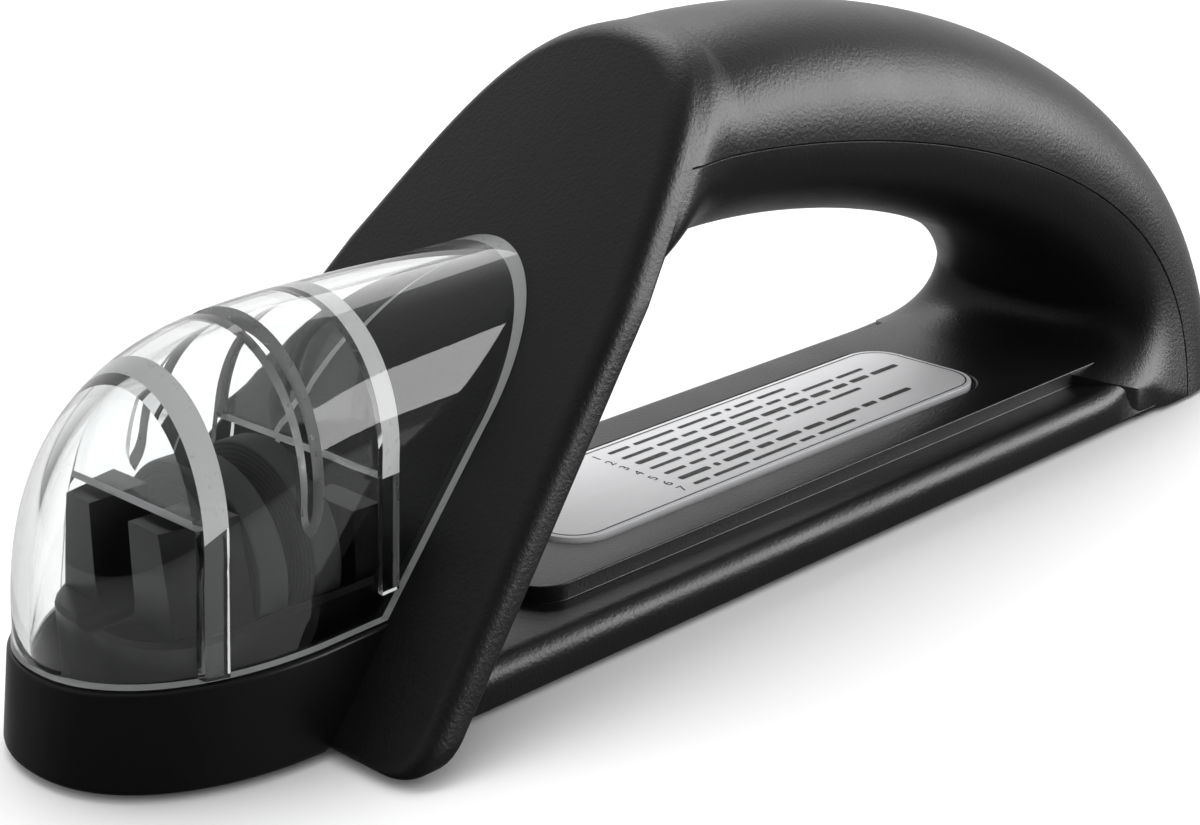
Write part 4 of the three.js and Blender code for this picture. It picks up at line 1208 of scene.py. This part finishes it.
def point_to_shield(start_x, share, thinner, row):
    """Point on the way from a place along the cover to the shield's leaning face."""
    x = start_x
    for _ in range(SETTLING_ROUNDS):
        z = cover_row(x, thinner, row)[1]
        end_x = SHIELD_FOOT_X + SHIELD_RUN * z - COVER_SHIELD_GAP * SHIELD_SLOPE
        x = mix(start_x, end_x, share)
    return cover_point(x, thinner, row)


def leaning_point(base_x, thinner, row):
    """Point of the skin on a cross plane that leans back a little, as the slot and the webs do."""
    x = base_x
    for _ in range(SETTLING_ROUNDS):
        x = base_x + COVER_LEAN * (cover_row(x, thinner, row)[1] - COVER_BASE_Z)
    return cover_point(x, thinner, row)


def slot_half_at(z, width):
    """Half width of the blade slot: none below it, round at its lower end."""
    share = min(1, max(0, (z - SLOT_BOTTOM_Z) / SLOT_END))
    return width / 2 * math.sqrt(share * (2 - share))


class SHARPENER_OT_cover(bpy.types.Operator):
    """Clear cover: domed nose, vault against the shield, blade slot and two cross webs"""

    bl_idname = "sharpener.cover"
    bl_label = "Clear cover"

    def execute(self, context):
        sizes = context.scene.sharpener_sizes
        colour = context.scene.sharpener_colours.cover
        bm = bmesh.new()
        self.shell(bm, sizes)
        for x in (FRONT_WEB_X, REAR_WEB_X):
            self.web(bm, x, sizes)
        material = clear_plastic(colour)
        made = piece("clear_cover_shell", bm, material, "cover", ["clear_cover"], 40)
        # Rim, shield edge, web edges and slot walls get painted highlight: satin plastic painted whitish,
        # the slot walls less so, in place of the light their clear edges gather.
        made.data.materials.append(painted_highlight_edge("painted_highlight_edge_san", colour, 0.12))
        made.data.materials.append(painted_highlight_edge("painted_highlight_slot_san", colour, 0.85))
        return {"FINISHED"}

    def shell(self, bm, sizes):
        """Outer and inner skins joined along the rim, the slot and the shield."""
        rows = range(COVER_ROWS)
        slot_half = [slot_half_at(leaning_point(SLOT_X, 0, row).z, sizes.slot_width) for row in rows]
        skins = []
        for thinner in (0, sizes.cover_wall):
            tip = NOSE_X + COVER_INSET + thinner
            middle = [leaning_point(SLOT_X, thinner, row).x for row in rows]
            rings = []
            for i in range(COVER_FRONT_RINGS + 1):
                share = 1 - math.cos(math.pi / 2 * i / COVER_FRONT_RINGS)
                places = [mix(tip, middle[row] - slot_half[row], share) for row in rows]
                rings.append([cover_point(x, thinner, row) for row, x in enumerate(places)])
            for i in range(COVER_REAR_RINGS + 1):
                share = i / COVER_REAR_RINGS
                starts = [middle[row] + slot_half[row] for row in rows]
                rings.append([point_to_shield(x, share, thinner, row) for row, x in enumerate(starts)])
            skins.append([[bm.verts.new(point) for point in ring] for ring in rings])
        for skin in skins:
            for k in range(len(skin) - 1):
                if k != COVER_FRONT_RINGS:
                    self.strip(bm, skin[k], skin[k + 1], 0)
        outer, inner = skins
        # Rim and shield edge take finish 1 and the slot walls finish 2: painted highlight.
        for side in (0, COVER_ROWS - 1):
            rim = [[ring[side] for ring in skin] for skin in skins]
            self.strip(bm, rim[0], rim[1], 1)
        self.strip(bm, outer[-1], inner[-1], 1)
        open_rows = [row for row in rows if slot_half[row] > 0]
        slot_rows = slice(open_rows[0] - 1, open_rows[-1] + 2)
        for k in (COVER_FRONT_RINGS, COVER_FRONT_RINGS + 1):
            self.strip(bm, outer[k][slot_rows], inner[k][slot_rows], 2)

    def strip(self, bm, near, far, finish):
        """Quads between two rows of vertices; finish 0 is polished, 1 a satin edge painted whitish as
        painted highlight, 2 the slot's wall, painted a little lighter as painted highlight.
        """
        for i in range(len(near) - 1):
            face = bm.faces.new((near[i], near[i + 1], far[i + 1], far[i]))
            face.material_index = finish

    def web(self, bm, base_x, sizes):
        """A cross web under the skin: a plate above its lower edge and a rib down each wall."""
        thick = sizes.web_thickness
        rear_skin = [leaning_point(base_x + thick / 2, WEB_SINK, row) for row in range(COVER_ROWS)]
        rows = [row for row, point in enumerate(rear_skin) if self.ahead_of_shield(point)]
        rings = []
        for edge_x in (base_x - thick / 2, base_x + thick / 2):
            skin = [leaning_point(edge_x, WEB_SINK, row) for row in rows]
            bottom_x = edge_x + COVER_LEAN * (WEB_BOTTOM_Z - COVER_BASE_Z)
            half = min((abs(p.y) for p in skin if p.z <= WEB_BOTTOM_Z), default=abs(skin[0].y)) - WEB_RIB
            foot = abs(skin[0].y) - WEB_RIB
            inner = [
                Vector((skin[-1].x, foot, skin[-1].z)),
                Vector((bottom_x, half, WEB_BOTTOM_Z)),
                Vector((bottom_x, -half, WEB_BOTTOM_Z)),
                Vector((skin[0].x, -foot, skin[0].z)),
            ]
            rings.append(skin + inner)
        made = capped_loft(bm, rings)
        bm.normal_update()
        # The web's lower edge faces take finish 1: painted highlight, painted whitish.
        for face in {face for vert in made[0] for face in vert.link_faces}:
            is_edge = len(face.verts) == 4 and face.calc_center_median().z > WEB_BOTTOM_Z - TOUCH
            face.material_index = 1 if is_edge else 0

    def ahead_of_shield(self, point):
        return point.x < SHIELD_FOOT_X + SHIELD_RUN * point.z - FIT * SHIELD_SLOPE


# Underside
def repeat_on_points(name, centres, tree, values, body, nodes):
    """Runs a node tree on one vertex per site and keeps the result as a plain mesh."""
    mesh = bpy.data.meshes.new(name)
    mesh.from_pydata(centres, [], [])
    made = bpy.data.objects.new(name, mesh)
    bpy.context.scene.collection.objects.link(made)
    modifier = made.modifiers.new(name, "NODES")
    modifier.node_group = tree
    for item in tree.interface.items_tree:
        if item.in_out == "INPUT" and item.name in values:
            modifier[item.identifier] = values[item.name]
    plain_mesh(made)
    made.data.set_sharp_from_angle(angle=math.radians(30))
    return settle(made, body, nodes)


def node_tree_with_inputs(name, inputs):
    tree = bpy.data.node_groups.new(name, "GeometryNodeTree")
    tree.interface.new_socket("Geometry", in_out="INPUT", socket_type="NodeSocketGeometry")
    for label in inputs:
        tree.interface.new_socket(label, in_out="INPUT", socket_type="NodeSocketFloat")
    tree.interface.new_socket("Geometry", in_out="OUTPUT", socket_type="NodeSocketGeometry")
    return tree, add_node(tree, "NodeGroupInput")


def instances_to_output(tree, points, shape, material):
    spread = add_node(tree, "GeometryNodeInstanceOnPoints", {"Points": points, "Instance": shape})
    real = add_node(tree, "GeometryNodeRealizeInstances", {"Geometry": spread.outputs["Instances"]})
    smooth = add_node(tree, "GeometryNodeSetShadeSmooth", {"Geometry": real.outputs["Geometry"]})
    coat = {"Geometry": smooth.outputs["Geometry"], "Material": material}
    painted = add_node(tree, "GeometryNodeSetMaterial", coat)
    add_node(tree, "NodeGroupOutput", {"Geometry": painted.outputs["Geometry"]})


def screw_tree(material):
    """Pan head of a screw with a cross recess, seen from below."""
    tree, given = node_tree_with_inputs("cross_recess_screws", ["Head radius", "Head height", "Recess"])
    given = given.outputs
    form = {"Vertices": 40, "Radius": given["Head radius"], "Depth": given["Head height"]}
    head = add_node(tree, "GeometryNodeMeshCylinder", form)
    half = add_node(tree, "ShaderNodeMath", {0: given["Head height"], 1: 0.5}, operation="MULTIPLY")
    drop = add_node(tree, "ShaderNodeCombineXYZ", {"Z": half.outputs["Value"]})
    move = {"Geometry": head.outputs["Mesh"], "Translation": drop.outputs["Vector"]}
    placed = add_node(tree, "GeometryNodeTransform", move).outputs["Geometry"]
    bars = []
    for long_axis in ("X", "Y"):
        size = add_node(tree, "ShaderNodeCombineXYZ", {"X": RECESS_BAR, "Y": RECESS_BAR, "Z": RECESS_CUT})
        set_inputs(tree, size, {long_axis: given["Recess"]})
        bar = add_node(tree, "GeometryNodeMeshCube", {"Size": size.outputs["Vector"]})
        bars.append(bar.outputs["Mesh"])
    cut = add_node(tree, "GeometryNodeMeshBoolean", {"Mesh 1": placed}, operation="DIFFERENCE")
    for bar in bars:
        tree.links.new(bar, cut.inputs["Mesh 2"])
    instances_to_output(tree, given["Geometry"], cut.outputs["Mesh"], material)
    return tree


def foot_tree(material):
    """Rubber foot: a low disc with a softened lower edge."""
    tree, given = node_tree_with_inputs("rubber_feet", ["Radius", "Depth", "Soft edge"])
    given = given.outputs
    soft = given["Soft edge"]
    lower = add_node(tree, "ShaderNodeMath", {0: given["Radius"], 1: soft}, operation="SUBTRACT")
    rest = add_node(tree, "ShaderNodeMath", {0: given["Depth"], 1: soft}, operation="SUBTRACT")
    taper = {"Radius Top": given["Radius"], "Radius Bottom": lower.outputs["Value"], "Depth": soft}
    cone = add_node(tree, "GeometryNodeMeshCone", {"Vertices": 48, **taper})
    form = {"Vertices": 48, "Radius": given["Radius"], "Depth": rest.outputs["Value"]}
    disc = add_node(tree, "GeometryNodeMeshCylinder", form)
    both = add_node(tree, "ShaderNodeMath", {0: given["Depth"], 1: soft})
    middle = add_node(tree, "ShaderNodeMath", {0: both.outputs["Value"], 1: 0.5}, operation="MULTIPLY")
    rise = add_node(tree, "ShaderNodeCombineXYZ", {"Z": middle.outputs["Value"]})
    move = {"Geometry": disc.outputs["Mesh"], "Translation": rise.outputs["Vector"]}
    placed = add_node(tree, "GeometryNodeTransform", move)
    joined = add_node(tree, "GeometryNodeJoinGeometry", {"Geometry": cone.outputs["Mesh"]})
    set_inputs(tree, joined, {"Geometry": placed.outputs["Geometry"]})
    instances_to_output(tree, given["Geometry"], joined.outputs["Geometry"], material)
    return tree


def low_middles(names):
    """Middle of the lower face of each node."""
    places = []
    for name in names:
        low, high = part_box(name)
        middle = (low + high) / 2
        places.append((middle.x, middle.y, low.z))
    return places


class SHARPENER_OT_underside(bpy.types.Operator):
    """Base plate with softened edges, its screws and the rubber feet"""

    bl_idname = "sharpener.underside"
    bl_label = "Underside"

    def execute(self, context):
        softened_node(
            "base_plate",
            "base_plate_moulding",
            handle_material(context.scene),
            edge=0.2 * MM,
            segments=2,
            angle=40,
        )
        low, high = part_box(SCREW_NAMES[0])
        repeat_on_points(
            "base_screws",
            low_middles(SCREW_NAMES),
            screw_tree(plated_steel()),
            {"Head radius": (high.y - low.y) / 2, "Head height": SCREW_HEAD, "Recess": SCREW_RECESS},
            "base",
            SCREW_NAMES,
        )
        repeat_on_points(
            "rubber_feet",
            low_middles(FOOT_NAMES),
            foot_tree(rubber()),
            {
                "Radius": (FOOT_HIGH.y - FOOT_LOW.y) / 2,
                "Depth": FOOT_HIGH.z - FOOT_LOW.z,
                "Soft edge": FOOT_EDGE,
            },
            "base",
            FOOT_NAMES,
        )
        return {"FINISHED"}


# Stage
class SHARPENER_OT_stage(bpy.types.Operator):
    """White floor, soft studio light and the camera"""

    bl_idname = "sharpener.stage"
    bl_label = "Stage"

    def execute(self, context):
        scene = context.scene
        scene.view_settings.view_transform = "Standard"
        self.floor(scene)
        self.sky(scene)
        self.softbox(scene, "top_softbox", (0.15, 0.35, 0.9), (1.2, 0.7), 9, gloss=False)
        self.softbox(scene, "back_card", (0.48, 0.43, 0.71), (0.42, 0.34), 1.2, fill=False)
        self.softbox(scene, "right_card", (0.72, -0.56, 0.34), (0.8, 0.48), 7.5, fill=False)
        self.camera(scene)
        return {"FINISHED"}

    def floor(self, scene):
        bm = bmesh.new()
        bmesh.ops.create_circle(bm, cap_ends=True, segments=96, radius=FLOOR_RADIUS)
        mesh = bpy.data.meshes.new("studio_floor")
        bm.to_mesh(mesh)
        bm.free()
        material, tree, shader = new_material("matt_white_floor")
        place = add_node(tree, "ShaderNodeTexCoord").outputs["Object"]
        cloud = add_node(tree, "ShaderNodeTexNoise", {"Vector": place, "Scale": noise_scale(90 * MM)})
        tones = {"Value": cloud.outputs["Fac"], "To Min": 0.9, "To Max": 0.92}
        tone = add_node(tree, "ShaderNodeMapRange", tones)
        set_inputs(tree, shader, {"Base Color": tone.outputs["Result"], "Roughness": 0.9})
        mesh.materials.append(material)
        made = bpy.data.objects.new("studio_floor", mesh)
        made.visible_glossy = False
        scene.collection.objects.link(made)

    def sky(self, scene):
        """White backdrop and even fill light; gloss sees a room that is bright behind and dark in front."""
        world = bpy.data.worlds.new("studio_light")
        world.use_nodes = True
        tree = world.node_tree
        place = add_node(tree, "ShaderNodeTexCoord").outputs["Generated"]
        path = add_node(tree, "ShaderNodeLightPath").outputs
        room = add_node(tree, "ShaderNodeMath", {0: 0.02, 1: 0.0})
        for towards, start, strength in ROOM_GLOWS:
            facing = add_node(tree, "ShaderNodeVectorMath", {0: place, 1: towards}, operation="DOT_PRODUCT")
            share = {"Value": facing.outputs["Value"], "From Min": start, "To Max": strength}
            glow = add_node(tree, "ShaderNodeMapRange", share, interpolation_type="SMOOTHSTEP")
            room = add_node(tree, "ShaderNodeMath", {0: room.outputs["Value"], 1: glow.outputs["Result"]})
        after = {}
        for kind in ("Diffuse Depth", "Glossy Depth"):
            bounced = add_node(tree, "ShaderNodeMath", {0: path[kind], 1: 0.5}, operation="GREATER_THAN")
            after[kind] = bounced.outputs["Value"]
        plain = add_node(tree, "ShaderNodeMix", {"Factor": after["Diffuse Depth"], "A": 1.0, "B": 0.8})
        parts = {"A": plain.outputs["Result"], "B": room.outputs["Value"]}
        strength = add_node(tree, "ShaderNodeMix", {"Factor": after["Glossy Depth"], **parts})
        back = next(n for n in tree.nodes if n.type == "BACKGROUND")
        set_inputs(tree, back, {"Color": (1, 1, 1, 1), "Strength": strength.outputs["Result"]})
        scene.world = world

    def softbox(self, scene, name, place, size, power, gloss=True, fill=True):
        """A soft area light aimed at the object, seen in gloss, in matt surfaces or in both."""
        light = bpy.data.lights.new(name, "AREA")
        light.shape = "RECTANGLE"
        light.size, light.size_y = size
        light.energy = power
        made = bpy.data.objects.new(name, light)
        made.location = place
        direction = LIGHT_AIM - Vector(place)
        made.rotation_euler = direction.to_track_quat("-Z", "Y").to_euler()
        made.visible_glossy = gloss
        made.visible_diffuse = fill
        made.visible_camera = False
        made.visible_transmission = False
        scene.collection.objects.link(made)

    def camera(self, scene):
        lens = bpy.data.cameras.new("reference_view")
        lens.sensor_fit = "HORIZONTAL"
        lens.sensor_width = 36
        lens.lens = CAMERA_LENS
        lens.clip_start = 0.01
        made = bpy.data.objects.new("reference_view", lens)
        made.location = CAMERA_PLACE
        made.rotation_euler = CAMERA_AIM.to_track_quat("-Z", "Y").to_euler()
        scene.collection.objects.link(made)
        scene.camera = made


STEPS = (
    SHARPENER_OT_stage,
    SHARPENER_OT_shield,
    SHARPENER_OT_grip_cover,
    SHARPENER_OT_body_shell,
    SHARPENER_OT_label,
    SHARPENER_OT_tray,
    SHARPENER_OT_cradle,
    SHARPENER_OT_wheels,
    SHARPENER_OT_axle_set,
    SHARPENER_OT_cover,
    SHARPENER_OT_underside,
)


class SHARPENER_PT_panel(bpy.types.Panel):
    """Lists the steps that build the sharpener"""

    bl_idname = "SHARPENER_PT_panel"
    bl_label = "Knife Sharpener"
    bl_space_type = "VIEW_3D"
    bl_region_type = "UI"
    bl_category = "Sharpener"

    def draw(self, context):
        layout = self.layout
        for group in (context.scene.sharpener_sizes, context.scene.sharpener_colours):
            for key in group.bl_rna.properties.keys():
                if key not in {"rna_type", "name"}:
                    layout.prop(group, key)
        for step in STEPS:
            layout.operator(step.bl_idname)


CLASSES = (SharpenerSizes, SharpenerColours, *STEPS, SHARPENER_PT_panel)


def register():
    for item in CLASSES:
        bpy.utils.register_class(item)
    bpy.types.Scene.sharpener_sizes = PointerProperty(type=SharpenerSizes)
    bpy.types.Scene.sharpener_colours = PointerProperty(type=SharpenerColours)


def unregister():
    del bpy.types.Scene.sharpener_colours
    del bpy.types.Scene.sharpener_sizes
    for item in reversed(CLASSES):
        bpy.utils.unregister_class(item)


def main():
    register()
    bpy.ops.sharpener.stage()
    bpy.ops.sharpener.shield()
    bpy.ops.sharpener.grip_cover()
    bpy.ops.sharpener.body_shell()
    bpy.ops.sharpener.label()
    bpy.ops.sharpener.tray()
    bpy.ops.sharpener.cradle()
    bpy.ops.sharpener.wheels()
    bpy.ops.sharpener.axle_set()
    bpy.ops.sharpener.cover()
    bpy.ops.sharpener.underside()


if __name__ == "__main__":
    main()
